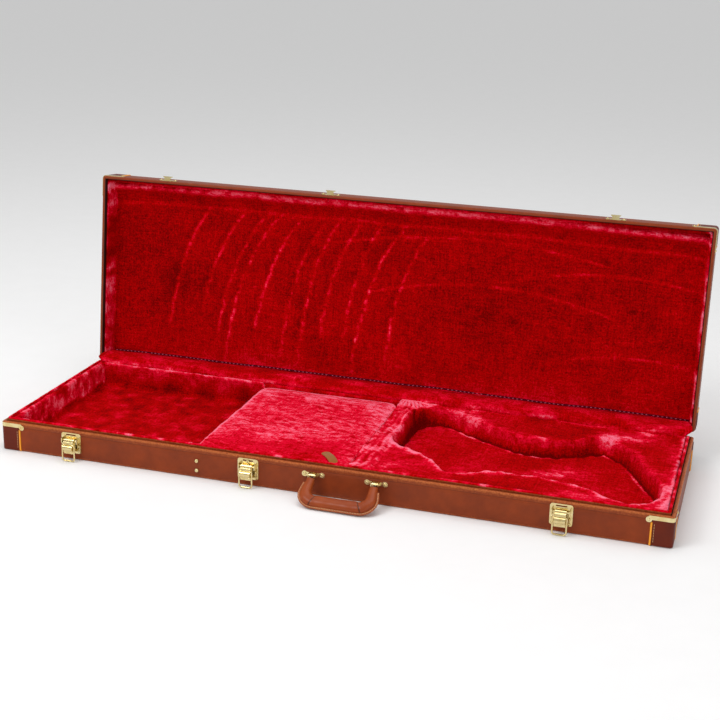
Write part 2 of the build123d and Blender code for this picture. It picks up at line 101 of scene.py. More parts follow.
# %% [markdown]
# ## Small tools
# Almost every stiff piece is a stack of rounded rectangles joined ring to ring, a loft, and almost
# every soft one is a sheet of heights over a grid. Both close into solids, so that they have real thickness.

# %% Make a mesh object
def make_piece(name, points, faces, sharp_degrees=35):
    """A mesh object with smooth shading that breaks at edges sharper than the given angle."""
    mesh = bpy.data.meshes.new(name)
    mesh.from_pydata([tuple(p) for p in points], [], faces)
    shape = bmesh.new()
    shape.from_mesh(mesh)
    bmesh.ops.recalc_face_normals(shape, faces=shape.faces)
    shape.to_mesh(mesh)
    shape.free()
    mesh.polygons.foreach_set("use_smooth", [True] * len(mesh.polygons))
    mesh.set_sharp_from_angle(angle=math.radians(sharp_degrees))
    piece = bpy.data.objects.new(name, mesh)
    bpy.context.scene.collection.objects.link(piece)
    return piece


def paint(piece, name, values):
    """Stores one number for each point, which a material can read."""
    attribute = piece.data.attributes.new(name, "FLOAT", "POINT")
    attribute.data.foreach_set("value", np.asarray(values, np.float32).ravel())


def settle(piece, body, slot, material, *replaced):
    """Gives a piece its body, its finish and the design nodes that it stands for."""
    piece.data.materials.clear()
    piece.data.materials.append(material)
    if replaced:
        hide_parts(*replaced)
    if body:
        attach(piece, body)
    return piece


# %% Rings and lofts
def ring(x0, x1, y0, y1, radius, z, counts=(60, 18, 6)):
    """Points round a rounded rectangle, level at z. Counts are along X, along Y and in each corner."""
    along_x, along_y, arc = counts
    centres = [(x0 + radius, y0 + radius, 180), (x1 - radius, y0 + radius, 270)]
    centres += [(x1 - radius, y1 - radius, 0), (x0 + radius, y1 - radius, 90)]
    turns = []
    for cx, cy, start in centres:
        angles = np.radians(start + np.linspace(0, 90, arc + 1))
        turns.append(np.column_stack([cx + radius * np.cos(angles), cy + radius * np.sin(angles)]))
    points = []
    for index, turn in enumerate(turns):
        points.extend(turn)
        following = turns[(index + 1) % 4][0]
        cuts = along_x if index % 2 == 0 else along_y
        for step in range(1, cuts):
            points.append(turn[-1] + (following - turn[-1]) * step / cuts)
    return [(x, y, z) for x, y in points]


def loft(name, rings, caps=True, sharp_degrees=35):
    """Joins rings of equally many points. Caps close the ends; without them the last ring meets the first."""
    count = len(rings[0])
    points = [point for one in rings for point in one]
    faces = []
    for row in range(len(rings) - (1 if caps else 0)):
        low = row * count
        high = (row + 1) % len(rings) * count
        for i in range(count):
            j = (i + 1) % count
            faces.append((low + i, low + j, high + j, high + i))
    if caps:
        faces.append(tuple(reversed(range(count))))
        faces.append(tuple(range(len(points) - count, len(points))))
    return make_piece(name, points, faces, sharp_degrees)


print("a plain ring has", len(ring(0, 1, 0, 1, 0.1, 0)), "points")


# %% Rods, and joining parts
def tube(path, radius, sides=10, closed=False):
    """Points and faces of a round rod along a path. A radius list tapers it."""
    path = [Vector(p) for p in path]
    radii = radius if hasattr(radius, "__len__") else [radius] * len(path)
    points, faces = [], []
    side = None
    for i, here in enumerate(path):
        before = path[i - 1] if i or closed else here
        after = path[(i + 1) % len(path)] if i + 1 < len(path) or closed else here
        forward = (after - before).normalized()
        if side is None:
            side = forward.orthogonal().normalized()
        side = (side - forward * side.dot(forward)).normalized()
        other = forward.cross(side)
        for k in range(sides):
            angle = 2 * math.pi * k / sides
            points.append(here + (side * math.cos(angle) + other * math.sin(angle)) * radii[i])
    for i in range(len(path) if closed else len(path) - 1):
        low, high = i * sides, (i + 1) % len(path) * sides
        for k in range(sides):
            j = (k + 1) % sides
            faces.append((low + k, low + j, high + j, high + k))
    if not closed:
        faces.append(tuple(reversed(range(sides))))
        faces.append(tuple(range(len(points) - sides, len(points))))
    return points, faces


def join(name, parts, sharp_degrees=35):
    """One object from several lists of points and faces."""
    points, faces = [], []
    for more_points, more_faces in parts:
        start = len(points)
        points.extend(more_points)
        faces.extend(tuple(i + start for i in face) for face in more_faces)
    return make_piece(name, points, faces, sharp_degrees)


rod_points, rod_faces = tube([(0, 0, 0), (0, 0, 1)], 0.1)
print("a straight rod has", len(rod_points), "points and", len(rod_faces), "faces")

# %% Rows of stitches
STITCH = ((0, -0.6), (0.2, 0.35), (0.5, 0.6), (0.8, 0.35), (1, -0.6))     # a share of its length, a rise


def walked(points):
    """Length walked along a line of points, up to each of them."""
    return np.concatenate([[0], np.cumsum(np.linalg.norm(np.diff(points, axis=0), axis=1))])


def stitch_row(points, ways, length, gap, radius):
    """Short rounded threads along a line of points. Each dives into the surface at both of its ends."""
    points, ways = np.array(points), np.array(ways)
    steps = walked(points)
    made = []
    for start in np.arange(gap, steps[-1] - length, length + gap):
        lift = np.array([np.interp(start, steps, ways[:, k]) for k in range(3)])
        raised = [np.array([np.interp(start + length * t, steps, points[:, k]) for k in range(3)])
                  + lift * radius * rise for t, rise in STITCH]
        made.append(tube(raised, radius, 6))
    return made


sample_row = stitch_row([(0, 0, 0), (0.05, 0, 0)], [(0, 0, 1)] * 2, 0.0026, 0.0014, 0.0004)
print("stitches in 50 mm:", len(sample_row))

# %% Smooth random heights
def soften(heights, cells):
    """Blurs a grid of heights, as thick cloth rounds what lies under it."""
    reach = int(3 * cells) + 1
    taps = np.exp(-0.5 * (np.arange(-reach, reach + 1) / cells) ** 2)
    taps /= taps.sum()
    for axis in (0, 1):
        pads = [(reach, reach) if a == axis else (0, 0) for a in (0, 1)]
        wide = np.pad(heights, pads, mode="edge")
        heights = np.apply_along_axis(lambda line: np.convolve(line, taps, "valid"), axis, wide)
    return heights


def lumps(shape, cells, seed):
    """Smooth random waves over a grid, about -2 to 2, from a fixed seed."""
    field = soften(np.random.default_rng(seed).standard_normal(shape), cells)
    return (field - field.mean()) / field.std()


def smooth_step(value, low, high):
    """0 below low, 1 above high, and an even turn between them."""
    t = np.clip((value - low) / (high - low), 0, 1)
    return t * t * (3 - 2 * t)


print("lumps spread over", round(float(np.ptp(lumps((40, 40), 2, 1))), 2), "of their own size")


# %% Sheets of heights
def graded(low, high, fine, coarse, band):
    """Positions from low to high, closer together within a band at each end."""
    edge = np.linspace(0, band, int(round(band / fine)) + 1)
    cuts = int(round((high - low - 2 * band) / coarse))
    middle = np.linspace(low + band, high - band, cuts + 1)
    return np.concatenate([low + edge[:-1], middle, high - edge[::-1][1:]])


def grid_solid(xs, ys, heights, floor):
    """Points and faces of a closed pad: heights over a grid, straight sides and a flat underside."""
    nx, ny = len(xs), len(ys)
    points = [(x, y, heights[i, j]) for i, x in enumerate(xs) for j, y in enumerate(ys)]
    faces = []
    for i in range(nx - 1):
        for j in range(ny - 1):
            a = i * ny + j
            faces.append((a, a + ny, a + ny + 1, a + 1))
    edge = [i * ny for i in range(nx)] + [(nx - 1) * ny + j for j in range(1, ny)]
    edge += [i * ny + ny - 1 for i in range(nx - 2, -1, -1)] + [j for j in range(ny - 2, 0, -1)]
    start = len(points)
    points += [(points[k][0], points[k][1], floor) for k in edge]
    count = len(edge)
    for k in range(count):
        m = (k + 1) % count
        faces.append((edge[k], edge[m], start + m, start + k))
    faces.append(tuple(range(start, start + count)))
    return points, faces


def ruffle(piece, amount, size, seed=0.0):
    """Moves each point a little along its normal, by smooth noise, so that stuffing looks uneven."""
    piece.data.update()
    offset = Vector((seed, 2 * seed, 3 * seed))
    moved = [v.co + v.normal * amount * noise.noise(v.co / size + offset) for v in piece.data.vertices]
    piece.data.vertices.foreach_set("co", np.array(moved).ravel())
    piece.data.update()


print("a graded metre has", len(graded(0, 1, 0.001, 0.005, 0.01)), "positions")

# %% [markdown]
# ## Finishes
# A material is a small graph of nodes. Every one below reads the piece's own coordinates, in metres,
# so one over a length in metres is a pattern's scale, and no pattern needs unwrapping.

# %% Colour and node helpers
def linear(code):
    """A colour written as sRGB hex, turned into the linear light that Blender works in."""
    shares = [int(code[i:i + 2], 16) / 255 for i in (1, 3, 5)]
    light = [s / 12.92 if s <= 0.04045 else ((s + 0.055) / 1.055) ** 2.4 for s in shares]
    return (*light, 1.0)


def add(tree, kind, inputs=None, **settings):
    """Adds a node. Inputs are numbers, colours or other nodes' sockets, by socket name or number."""
    made = tree.nodes.new("ShaderNode" + kind)
    for key, value in settings.items():
        setattr(made, key, value)
    for key, value in (inputs or {}).items():
        if isinstance(value, bpy.types.NodeSocket):
            tree.links.new(value, made.inputs[key])
        else:
            made.inputs[key].default_value = value
    return made


def connect(tree, shader, **sockets):
    """Links sockets to the shader's inputs, named with _ for a space."""
    for key, socket in sockets.items():
        tree.links.new(socket, shader.inputs[key.replace("_", " ")])


def start_material(name, **constants):
    """An empty material with a Principled shader. Constants are set on the shader's own sockets."""
    material = bpy.data.materials.new(name)
    material.use_nodes = True
    tree = material.node_tree
    tree.nodes.clear()
    shader = add(tree, "BsdfPrincipled", {key.replace("_", " "): v for key, v in constants.items()})
    add(tree, "OutputMaterial", {"Surface": shader.outputs["BSDF"]})
    return material, tree, shader, add(tree, "TexCoord").outputs["Object"]


print("mid grey in linear light is", round(linear("#808080")[0], 3))

# %% [markdown]
# ### Red pile fabric
# The lining is a knitted pile, like a short plush, about 3 mm deep. Pile that leans towards the light
# looks pink and pile that leans away looks almost black, so the colour follows a painted value called
# nap, broken up by tufts. That value holds the pile's lean and also painted highlights and painted
# shade: pink on rims, ridges and rolled edges, dark in creases and at the foot of walls. A tuft is
# about 1.5 mm, drawn as 3 mm so that it shows. The ribs of the
# knitted ground are 1 mm apart, drawn as 2.2 mm. Sheen gives the pale edge that standing fibres have.

# %% Red pile fabric
TUFT, CLUMP, BRUSHED = 0.003, 0.012, 0.07       # sizes of the pattern's parts, in metres
RIB_WIDE, RIB_LONG = 0.0022, 0.03
STROKE = (0.018, 0.009, 0.014)                  # a stroke of a hand, about 18 mm long
NAP_UP = (0.06, 0.6)                            # strokes show where the pile stands up this much


def pile_fabric(name, deep, mid, bright, shine):
    """Pile fabric: a deep colour for pile seen end on, also used for painted shade, colours for pile at rest and
    brushed up, and a pale pink for pile lit along its length, also used for painted highlights.
    """
    material, tree, shader, place = start_material(
        name, Roughness=0.95, Sheen_Weight=0.08, Sheen_Roughness=0.3, Sheen_Tint=linear("#FF3048"),
        Specular_IOR_Level=0.03)
    tuft = add(tree, "TexNoise", {"Vector": place, "Scale": 1 / TUFT, "Detail": 3.0, "Roughness": 0.6})
    clump = add(tree, "TexNoise", {"Vector": place, "Scale": 1 / CLUMP, "Detail": 2.0})
    brushed = add(tree, "TexNoise", {"Vector": place, "Scale": 1 / BRUSHED, "Detail": 2.0, "Distortion": 0.6})
    nap_and_painted_light = add(tree, "Attribute", attribute_name="nap_and_painted_light")
    rough = add(tree, "Math", {0: brushed.outputs["Fac"], 1: clump.outputs["Fac"]}, operation="ADD")
    uneven = add(tree, "Math", {0: rough.outputs[0], 1: 0.22, 2: -0.22}, operation="MULTIPLY_ADD")
    lean_and_painted_light = add(tree, "Math", {0: nap_and_painted_light.outputs["Fac"], 1: uneven.outputs[0]}, operation="ADD")
    # The knitted ground shows as fine ribs both ways, a stretched noise for each.
    for wide, long in ((RIB_WIDE, RIB_LONG), (RIB_LONG, RIB_WIDE)):
        rib_place = add(tree, "Mapping", {"Vector": place, "Scale": (1 / wide, 1 / long, 1 / long)})
        rib = add(tree, "TexNoise", {"Vector": rib_place.outputs[0], "Scale": 1.0, "Detail": 1.0})
        ribbed = add(tree, "Math", {0: rib.outputs["Fac"], 1: 0.24, 2: -0.12}, operation="MULTIPLY_ADD")
        lean_and_painted_light = add(tree, "Math", {0: lean_and_painted_light.outputs[0], 1: ribbed.outputs[0]}, operation="ADD")
    # Strokes show only where the pile already stands up.
    stroke_place = add(tree, "Mapping", {
        "Vector": place, "Rotation": (0, 0, math.radians(30)), "Scale": tuple(1 / size for size in STROKE)})
    stroke = add(tree, "TexNoise", {
        "Vector": stroke_place.outputs[0], "Scale": 1.0, "Detail": 6.0, "Roughness": 0.72, "Distortion": 0.5})
    ruffled = add(tree, "Math", {0: stroke.outputs["Fac"], 1: 2.3, 2: -1.15}, operation="MULTIPLY_ADD")
    standing = add(tree, "MapRange", {
        "Value": nap_and_painted_light.outputs["Fac"], "From Min": NAP_UP[0], "From Max": NAP_UP[1]})
    patch = add(tree, "Math", {0: ruffled.outputs[0], 1: standing.outputs[0]}, operation="MULTIPLY")
    lean_and_painted_light = add(tree, "Math", {0: lean_and_painted_light.outputs[0], 1: patch.outputs[0]}, operation="ADD")
    fleck = add(tree, "Math", {0: tuft.outputs["Fac"], 1: 0.7, 2: -0.35}, operation="MULTIPLY_ADD")
    spark = add(tree, "Math", {0: lean_and_painted_light.outputs[0], 1: fleck.outputs[0]}, operation="ADD")
    colour = linear(deep)
    for start, end, shade in ((-0.15, 0.22, mid), (0.22, 0.55, bright), (0.55, 1.0, shine)):
        share = add(tree, "MapRange", {"Value": spark.outputs[0], "From Min": start, "From Max": end})
        colour = add(tree, "MixRGB", {
            "Fac": share.outputs[0], "Color1": colour, "Color2": linear(shade)}).outputs[0]
    bump = add(tree, "Bump", {"Height": tuft.outputs["Fac"], "Strength": 0.6, "Distance": 0.0025})
    connect(tree, shader, Base_Color=colour, Normal=bump.outputs[0])
    return material


red_pile = pile_fabric("red_pile_fabric", "#6A0000", "#B80002", "#EC0A34", "#FF7C96")
print("finish:", red_pile.name)

# %% [markdown]
# ### Vinyl cloth
# The box is covered in brown vinyl on a cloth back, calendered smooth with a fine leather grain of
# about 1 mm, drawn as 1.6 mm. It is a soft gloss, a little mottled, and paler where it folds over an
# edge, partly rubbed and partly a painted highlight on the rounded edge, which a painted value marks.
# Below zero, the same value marks painted shade: a dark line along the inside of a rim, where the
# lining meets it, and in a pressed crease. On the handle it marks dark seams.

# %% Brown vinyl cloth
GRAIN, MOTTLE, FINE = 0.0016, 0.03, 0.002       # metres


def vinyl_cloth(name, dark, brown, worn_and_painted_light, gloss=0.46, edge="#1C0A04"):
    """Embossed vinyl: two browns mottled together, paler on worn edges, which also carry a painted highlight, and
    dark where painted shade lies along rims and in creases, and at the handle's dark seams.
    """
    material, tree, shader, place = start_material(name, IOR=1.53, Specular_IOR_Level=0.22)
    grain = add(tree, "TexVoronoi", {"Vector": place, "Scale": 1 / GRAIN}, feature="SMOOTH_F1")
    mottle = add(tree, "TexNoise", {"Vector": place, "Scale": 1 / MOTTLE, "Detail": 4.0, "Roughness": 0.65})
    fine = add(tree, "TexNoise", {"Vector": place, "Scale": 1 / FINE, "Detail": 2.0})
    shade = add(tree, "MixRGB", {
        "Fac": mottle.outputs["Fac"], "Color1": linear(dark), "Color2": linear(brown)})
    wear_and_painted_light = add(tree, "Attribute", attribute_name="wear_and_painted_light")
    rubbed_and_painted_light = add(tree, "Math", {0: wear_and_painted_light.outputs["Fac"], 1: fine.outputs["Fac"]}, operation="MULTIPLY")
    patchy = add(tree, "MapRange", {"Value": rubbed_and_painted_light.outputs[0], "From Min": 0.2, "From Max": 0.55})
    rubbed_and_painted_light = add(tree, "MixRGB", {
        "Fac": patchy.outputs[0], "Color1": shade.outputs[0], "Color2": linear(worn_and_painted_light)})
    # Below zero the value paints shade, dark along the inside of a rim and in a pressed crease; on the handle it
    # marks dark seams.
    painted_shade_and_dark_seam = add(tree, "MapRange", {"Value": wear_and_painted_light.outputs["Fac"], "From Min": 0.0, "From Max": -1.0})
    colour = add(tree, "MixRGB", {
        "Fac": painted_shade_and_dark_seam.outputs[0], "Color1": rubbed_and_painted_light.outputs[0], "Color2": linear(edge)})
    glossy = add(tree, "MapRange", {
        "Value": mottle.outputs["Fac"], "To Min": gloss - 0.07, "To Max": gloss + 0.1})
    bump = add(tree, "Bump", {"Height": grain.outputs["Distance"], "Strength": 0.25, "Distance": 0.0004})
    connect(tree, shader, Base_Color=colour.outputs[0], Roughness=glossy.outputs[0], Normal=bump.outputs[0])
    return material


brown_vinyl = vinyl_cloth("brown_vinyl_cloth", "#642204", "#963C0E", "#B8622E")
patch_vinyl = vinyl_cloth("dark_brown_patch_vinyl", "#4E1200", "#6E2002", "#8A3614", 0.55)
handle_leather = vinyl_cloth("handle_brown_leather", "#7A2C0C", "#A44A18", "#BC7444", 0.32)
print("finishes:", brown_vinyl.name, patch_vinyl.name, handle_leather.name)

# %% [markdown]
# ### Brass plate and the small finishes
# Latches, brackets and corners are steel stamped and plated in bright brass: a yellow metal with a
# clear, mirror-like gloss, spoilt a little by handling. Brass is a metal, so its colour is that of its
# reflection. The other finishes are an amber plastic welt, suede, board, blackened steel, thread and tape.

# %% Metal, plain stuff and board
SMEAR, SCUFF, BOARD_RING = 0.009, 0.0012, 0.006     # metres


def metal(name, bright, dull, smooth, handled):
    """Polished or plated metal with patches that handling has dulled."""
    material, tree, shader, place = start_material(name, Metallic=1.0)
    smear = add(tree, "TexNoise", {"Vector": place, "Scale": 1 / SMEAR, "Detail": 3.0})
    scuff = add(tree, "TexNoise", {"Vector": place, "Scale": 1 / SCUFF, "Detail": 2.0})
    colour = add(tree, "MixRGB", {
        "Fac": smear.outputs["Fac"], "Color1": linear(bright), "Color2": linear(dull)})
    gloss = add(tree, "MapRange", {"Value": smear.outputs["Fac"], "To Min": smooth, "To Max": handled})
    bump = add(tree, "Bump", {"Height": scuff.outputs["Fac"], "Strength": 0.08, "Distance": 0.0002})
    connect(tree, shader, Base_Color=colour.outputs[0], Roughness=gloss.outputs[0], Normal=bump.outputs[0])
    return material


def plain_stuff(name, dark, light, size, roughness, depth, **constants):
    """Two close colours and a bump from one noise, for stuff with a fine even surface."""
    material, tree, shader, place = start_material(name, **constants)
    grain = add(tree, "TexNoise", {"Vector": place, "Scale": 1 / size, "Detail": 4.0, "Roughness": 0.6})
    colour = add(tree, "MixRGB", {
        "Fac": grain.outputs["Fac"], "Color1": linear(dark), "Color2": linear(light)})
    gloss = add(tree, "MapRange", {
        "Value": grain.outputs["Fac"], "To Min": roughness - 0.06, "To Max": roughness + 0.06})
    bump = add(tree, "Bump", {"Height": grain.outputs["Fac"], "Strength": 0.5, "Distance": depth})
    connect(tree, shader, Base_Color=colour.outputs[0], Roughness=gloss.outputs[0], Normal=bump.outputs[0])
    return material


def board(name, dark, light, turn):
    """Plain sawn board: rings stretched along the grain, which turn points along."""
    material, tree, shader, place = start_material(name, IOR=1.5)
    lie = add(tree, "Mapping", {"Vector": place, "Scale": turn})
    rings = add(tree, "TexNoise", {
        "Vector": lie.outputs[0], "Scale": 1 / BOARD_RING, "Detail": 5.0, "Distortion": 0.4})
    colour = add(tree, "MixRGB", {
        "Fac": rings.outputs["Fac"], "Color1": linear(dark), "Color2": linear(light)})
    gloss = add(tree, "MapRange", {"Value": rings.outputs["Fac"], "To Min": 0.55, "To Max": 0.75})
    bump = add(tree, "Bump", {"Height": rings.outputs["Fac"], "Strength": 0.3, "Distance": 0.0004})
    connect(tree, shader, Base_Color=colour.outputs[0], Roughness=gloss.outputs[0], Normal=bump.outputs[0])
    return material


print("smears on metal are", 1000 * SMEAR, "mm across")

# %% Brass and small finishes
brass = metal("bright_brass_plate", "#F2E8BC", "#C4A24E", 0.12, 0.26)
steel = metal("blackened_steel", "#4A4642", "#2C2926", 0.3, 0.45)
amber_welt = plain_stuff("amber_plastic_welt", "#E88404", "#FFB21E", 0.002, 0.35, 0.0002, IOR=1.5)
suede = plain_stuff("tan_suede", "#7A420A", "#A8681C", 0.0012, 0.9, 0.0004, Sheen_Weight=0.15)
thread = plain_stuff("pale_waxed_thread", "#B98A5A", "#DDB98A", 0.0006, 0.6, 0.0001)
pink_thread = plain_stuff(
    "pink_cotton_thread", "#9A2440", "#D06480", 0.0006, 0.8, 0.0001, Specular_IOR_Level=0.1)
plum_tape = plain_stuff(
    "dark_plum_cotton_tape", "#3C000C", "#70061C", 0.002, 0.95, 0.0003, Specular_IOR_Level=0.05)
plywood = board("plywood_board", "#7A5030", "#A87A4C", (0.08, 1.0, 1.0))
print("finishes:", brass.name, steel.name, amber_welt.name, suede.name, thread.name, plywood.name)

# %% [markdown]
# ## The box
# Bottom and walls are plywood, but one skin of vinyl cloth runs over them without a joint: up the
# outside, over the rim and a little way down inside. So the base is one loft whose rings follow that
# skin, and the rings at a fold carry wear together with a painted highlight, while those in a pressed
# crease and just inside the rim carry painted shade. The lid is the same, drawn closed and then swung open.

# %% Rings of a covered tub
CORNER = 5.0 * MM
FOLD = 1.5 * MM                 # how round the cloth makes a rim edge
UNDER = 3.5 * MM                # how round it makes the edge of the bottom
ROWS = 6                        # rings up a wall, so that it isn't one long strip
PAINTED_SHADE_AND_DARK_SEAM = -1.0                   # the value of the painted shade inside a rim, and of the dark seams on the handle
CREASE_DROP = 7.5 * MM          # a fine pressed line runs this far from the rim
CREASE_DEEP = 0.35 * MM


def shell_rings(low, high, depth, thickness, inside):
    """Rings and their painted value for a tub, from the outside of its panel, over its rim, to its inside: wear
    with a painted highlight on the folds, and painted shade below zero.
    """
    rim = high if depth > 0 else low
    face = rim - depth
    way = 1 if depth > 0 else -1
    steps = [(UNDER, face, 0.2), (UNDER * 0.3, face + way * UNDER * 0.3, 0.7), (0, face + way * UNDER, 0.5)]
    top = rim - way * FOLD
    start = face + way * UNDER * 2
    crease = rim - way * CREASE_DROP
    steps += [(0, start + (crease - start) * row / ROWS, 0.12) for row in range(ROWS)]
    # The pressed crease gets painted shade, below zero.
    steps += [(0, crease - way * 0.6 * MM, 0.1), (CREASE_DEEP, crease, -0.5)]
    steps += [(0, crease + way * 0.6 * MM, 0.45)]
    # Towards and over the rim the value rises: wear together with a painted highlight on the rounded edge.
    steps += [(0, (crease + rim) / 2, 0.5), (0, top, 0.85)]
    steps += [(FOLD * 0.3, rim - way * FOLD * 0.3, 1.0), (FOLD, rim, 0.8), (thickness * 0.72, rim, 0.5)]
    # Inside the rim, a band of painted shade where the lining meets the wall.
    steps += [(thickness * 0.82, rim, PAINTED_SHADE_AND_DARK_SEAM), (thickness - FOLD * 0.3, rim - way * FOLD * 0.3, PAINTED_SHADE_AND_DARK_SEAM)]
    steps += [(thickness, top, PAINTED_SHADE_AND_DARK_SEAM), (thickness, inside + way * UNDER, 0.0)]
    steps += [(thickness + UNDER, inside, 0.1)]
    return steps


print("a tub has", len(shell_rings(0.05, 0, 0.05, wall, panel)), "rings")


# %% Base and lid
def shell(name, low, high, upward, thickness):
    """A tub of covered plywood. Upward is true where its open side is on top."""
    x0, y0, z0 = low
    x1, y1, z1 = high
    depth = (z1 - z0) if upward else -(z1 - z0)
    inside = z0 + panel if upward else z1 - panel
    steps = shell_rings(z0 if not upward else z1, z1 if upward else z0, depth, thickness, inside)
    rings = [ring(x0 + d, x1 - d, y0 + d, y1 - d, max(CORNER - d, 0.8 * MM), z) for d, z, _ in steps]
    piece = loft(name, rings)
    rubbed_and_painted_light = 1.0 if upward else 0.45                      # the base's rim is paler than the lid's: rubbed more, and a stronger painted highlight on the upturned rim
    paint(piece, "wear_and_painted_light", np.repeat([rubbed_and_painted_light * w if w > 0 else w for _, _, w in steps], len(rings[0])))
    return piece


base_tub = shell("base_shell", base_low, base_high, True, wall)
settle(base_tub, "base", "covered_plywood", brown_vinyl, "base_bottom_panel", "base_front_wall",
       "base_back_wall", "base_left_wall", "base_right_wall")


def lid_open(piece):
    """Swings a piece that was drawn on the closed lid."""
    points = np.array([v.co for v in piece.data.vertices])
    piece.data.vertices.foreach_set("co", swing(points, open_angle).ravel())
    piece.data.update()
    return piece


lid_tub = lid_open(shell("lid_shell", lid_low, lid_high, False, lid_wall))
settle(lid_tub, "lid", "covered_plywood", brown_vinyl, "lid_top_panel", "lid_front_wall",
       "lid_back_wall", "lid_left_wall", "lid_right_wall")
print("shells have", len(base_tub.data.vertices), "and", len(lid_tub.data.vertices), "points")

# %% [markdown]
# A thin board stands up inside the base's rim. It is the tongue that the closed lid slides over. Its
# outside is covered in the vinyl, and the lining is pulled over its top edge in a small soft roll. The
# roll follows three sides only, because at the back the hinge strip covers the tongue.

# %% Tongue
tongue_low, tongue_high = corners_of("base_tongue")
tongue = 3.0 * MM
ROLL_TOP = 2.2 * MM             # how much of the tongue's height the roll takes up
board_top = tongue_high[2] - ROLL_TOP
profile = [(0, tongue_low[2]), (0, board_top), (tongue, board_top), (tongue, tongue_low[2])]
rings = [ring(tongue_low[0] + d, tongue_high[0] - d, tongue_low[1] + d, tongue_high[1] - d, 1.0 * MM, z)
         for d, z in profile]
tongue_band = loft("tongue", rings, caps=False)
# Painted shade at the tongue's foot; its top is a little paler.
paint(tongue_band, "wear_and_painted_light", np.repeat([-0.5, 0.6, 0.6, 0.0], len(rings[0])))
settle(tongue_band, "base", "bare_wood", brown_vinyl, "base_tongue")
clear_x, clear_y = tongue_high[0] - tongue, tongue_high[1] - tongue
print("inside the tongue:", round(2 * clear_x, 4), "by", round(2 * clear_y, 4))

# %% Roll on the tongue's edge
# Steps in from the tongue's outside and up from its top, in millimetres, once round the roll's section.
roll_profile = [(0.1, -2.15), (0.0, -1.3), (0.4, -0.3), (1.4, 0.5), (2.6, 0.6), (3.8, -0.2), (4.5, -1.8)]
roll_profile += [(4.3, -4.4), (3.15, -4.4), (3.15, -2.1)]
counts = (260, 80, 4)
roll_rings = []
for inset, rise in roll_profile:
    d = inset * MM
    roll_rings.append(ring(tongue_low[0] + d, tongue_high[0] - d, tongue_low[1] + d, tongue_high[1] - d,
                           max(1.0, 5.0 - inset) * MM, tongue_high[2] + rise * MM, counts))
stations = list(zip(*roll_rings))
corner_points = counts[2] + 1
front_right = 2 * corner_points + counts[0] - 1 + counts[1] - 1      # ends where the back edge starts
left_start = 3 * corner_points + 2 * (counts[0] - 1) + counts[1] - 1
stations = stations[left_start:] + stations[:front_right]
edge_roll = loft("lining_edge_roll", stations, sharp_degrees=80)
ruffle(edge_roll, 0.5 * MM, 7 * MM, 12.0)
# Uneven nap, with a small painted highlight on the roll's top.
roll_nap_and_painted_light = [0.32 + 0.5 * noise.noise(v.co / 0.018) + 0.06 * (v.co.z > tongue_high[2])
            for v in edge_roll.data.vertices]
paint(edge_roll, "nap_and_painted_light", roll_nap_and_painted_light)
settle(edge_roll, "base", "plush", red_pile)
print("edge roll:", len(stations), "stations on three sides")

# %% [markdown]
# ## The moulded lining
# Foam under the lining is cut to the guitar's body, and one piece of pile fabric is pressed over all of
# it, so its edges are round. A grid is dropped onto the design's foam, its heights are blurred as the
# fabric would round them, and then come the things that make it cloth: a bead where the edge of the
# recess is stuffed, gathers on the neck cradle, and small lumps. Nap is painted where the pile is bent,
# and the same value carries painted highlights on rims, edges and pleats and painted shade in creases.

# %% Heights of the foam
GRID = 1.5 * MM
cradle_low, cradle_high = corners_of("neck_cradle")
foam_low, foam_high = corners_of("body_foam")
xs = np.arange(cradle_low[0], foam_high[0] + GRID / 2, GRID)
ys = np.linspace(foam_low[1], foam_high[1], int(round((foam_high[1] - foam_low[1]) / GRID)) + 1)
points, faces = [], []
for node in ("neck_cradle", "body_foam", "body_floor_pad"):
    mesh = frame["nodes"][node].data
    start = len(points)
    points += [v.co.copy() for v in mesh.vertices]
    faces += [tuple(i + start for i in polygon.vertices) for polygon in mesh.polygons]
tree = BVHTree.FromPolygons(points, faces)
EDGE = 0.3 * MM
down = Vector((0, 0, -1))
foam = np.zeros((len(xs), len(ys)))
for i, x in enumerate(xs):
    for j, y in enumerate(ys):
        at_x = min(max(x, xs[0] + EDGE), xs[-1] - EDGE)
        at_y = min(max(y, ys[0] + EDGE), ys[-1] - EDGE)
        hit = tree.ray_cast(Vector((at_x, at_y, 1)), down)[0]
        foam[i, j] = hit.z if hit else foam_high[2]
print("grid of", foam.shape, "heights from", round(foam.min(), 4), "to", round(foam.max(), 4))

# %% Distances and waves over the grid
def gap_from(mask, steps):
    """Distance from a mask, in cells, grown outwards ring by ring up to a limit."""
    away = np.where(mask, 0.0, float(steps))
    near = mask.copy()
    for step in range(1, steps):
        grown = near.copy()
        grown[1:] |= near[:-1]
        grown[:-1] |= near[1:]
        grown[:, 1:] |= near[:, :-1]
        grown[:, :-1] |= near[:, 1:]
        if step % 2:                                    # every other ring also grows cornerwise
            grown[1:, 1:] |= near[:-1, :-1]
            grown[:-1, :-1] |= near[1:, 1:]
            grown[1:, :-1] |= near[:-1, 1:]
            grown[:-1, 1:] |= near[1:, :-1]
        away[grown & ~near] = step
        near = grown
    return away


def brushed_patch(x, y, middle, size, turn):
    """1 at the middle of a long patch and 0 outside it. Places in millimetres, turn in degrees."""
    c, s = math.cos(math.radians(turn)), math.sin(math.radians(turn))
    dx, dy = x - middle[0] * MM, y - middle[1] * MM
    u, v = (dx * c + dy * s) / (size[0] * MM), (dy * c - dx * s) / (size[1] * MM)
    return np.exp(-u ** 2 - v ** 2)


X, Y = np.meshgrid(xs, ys, indexing="ij")


def waves(size, seed):
    """Random waves over the recess's grid, with a size in millimetres."""
    return lumps(X.shape, size * MM / GRID, seed)


print("the recess's grid has", X.size, "points")

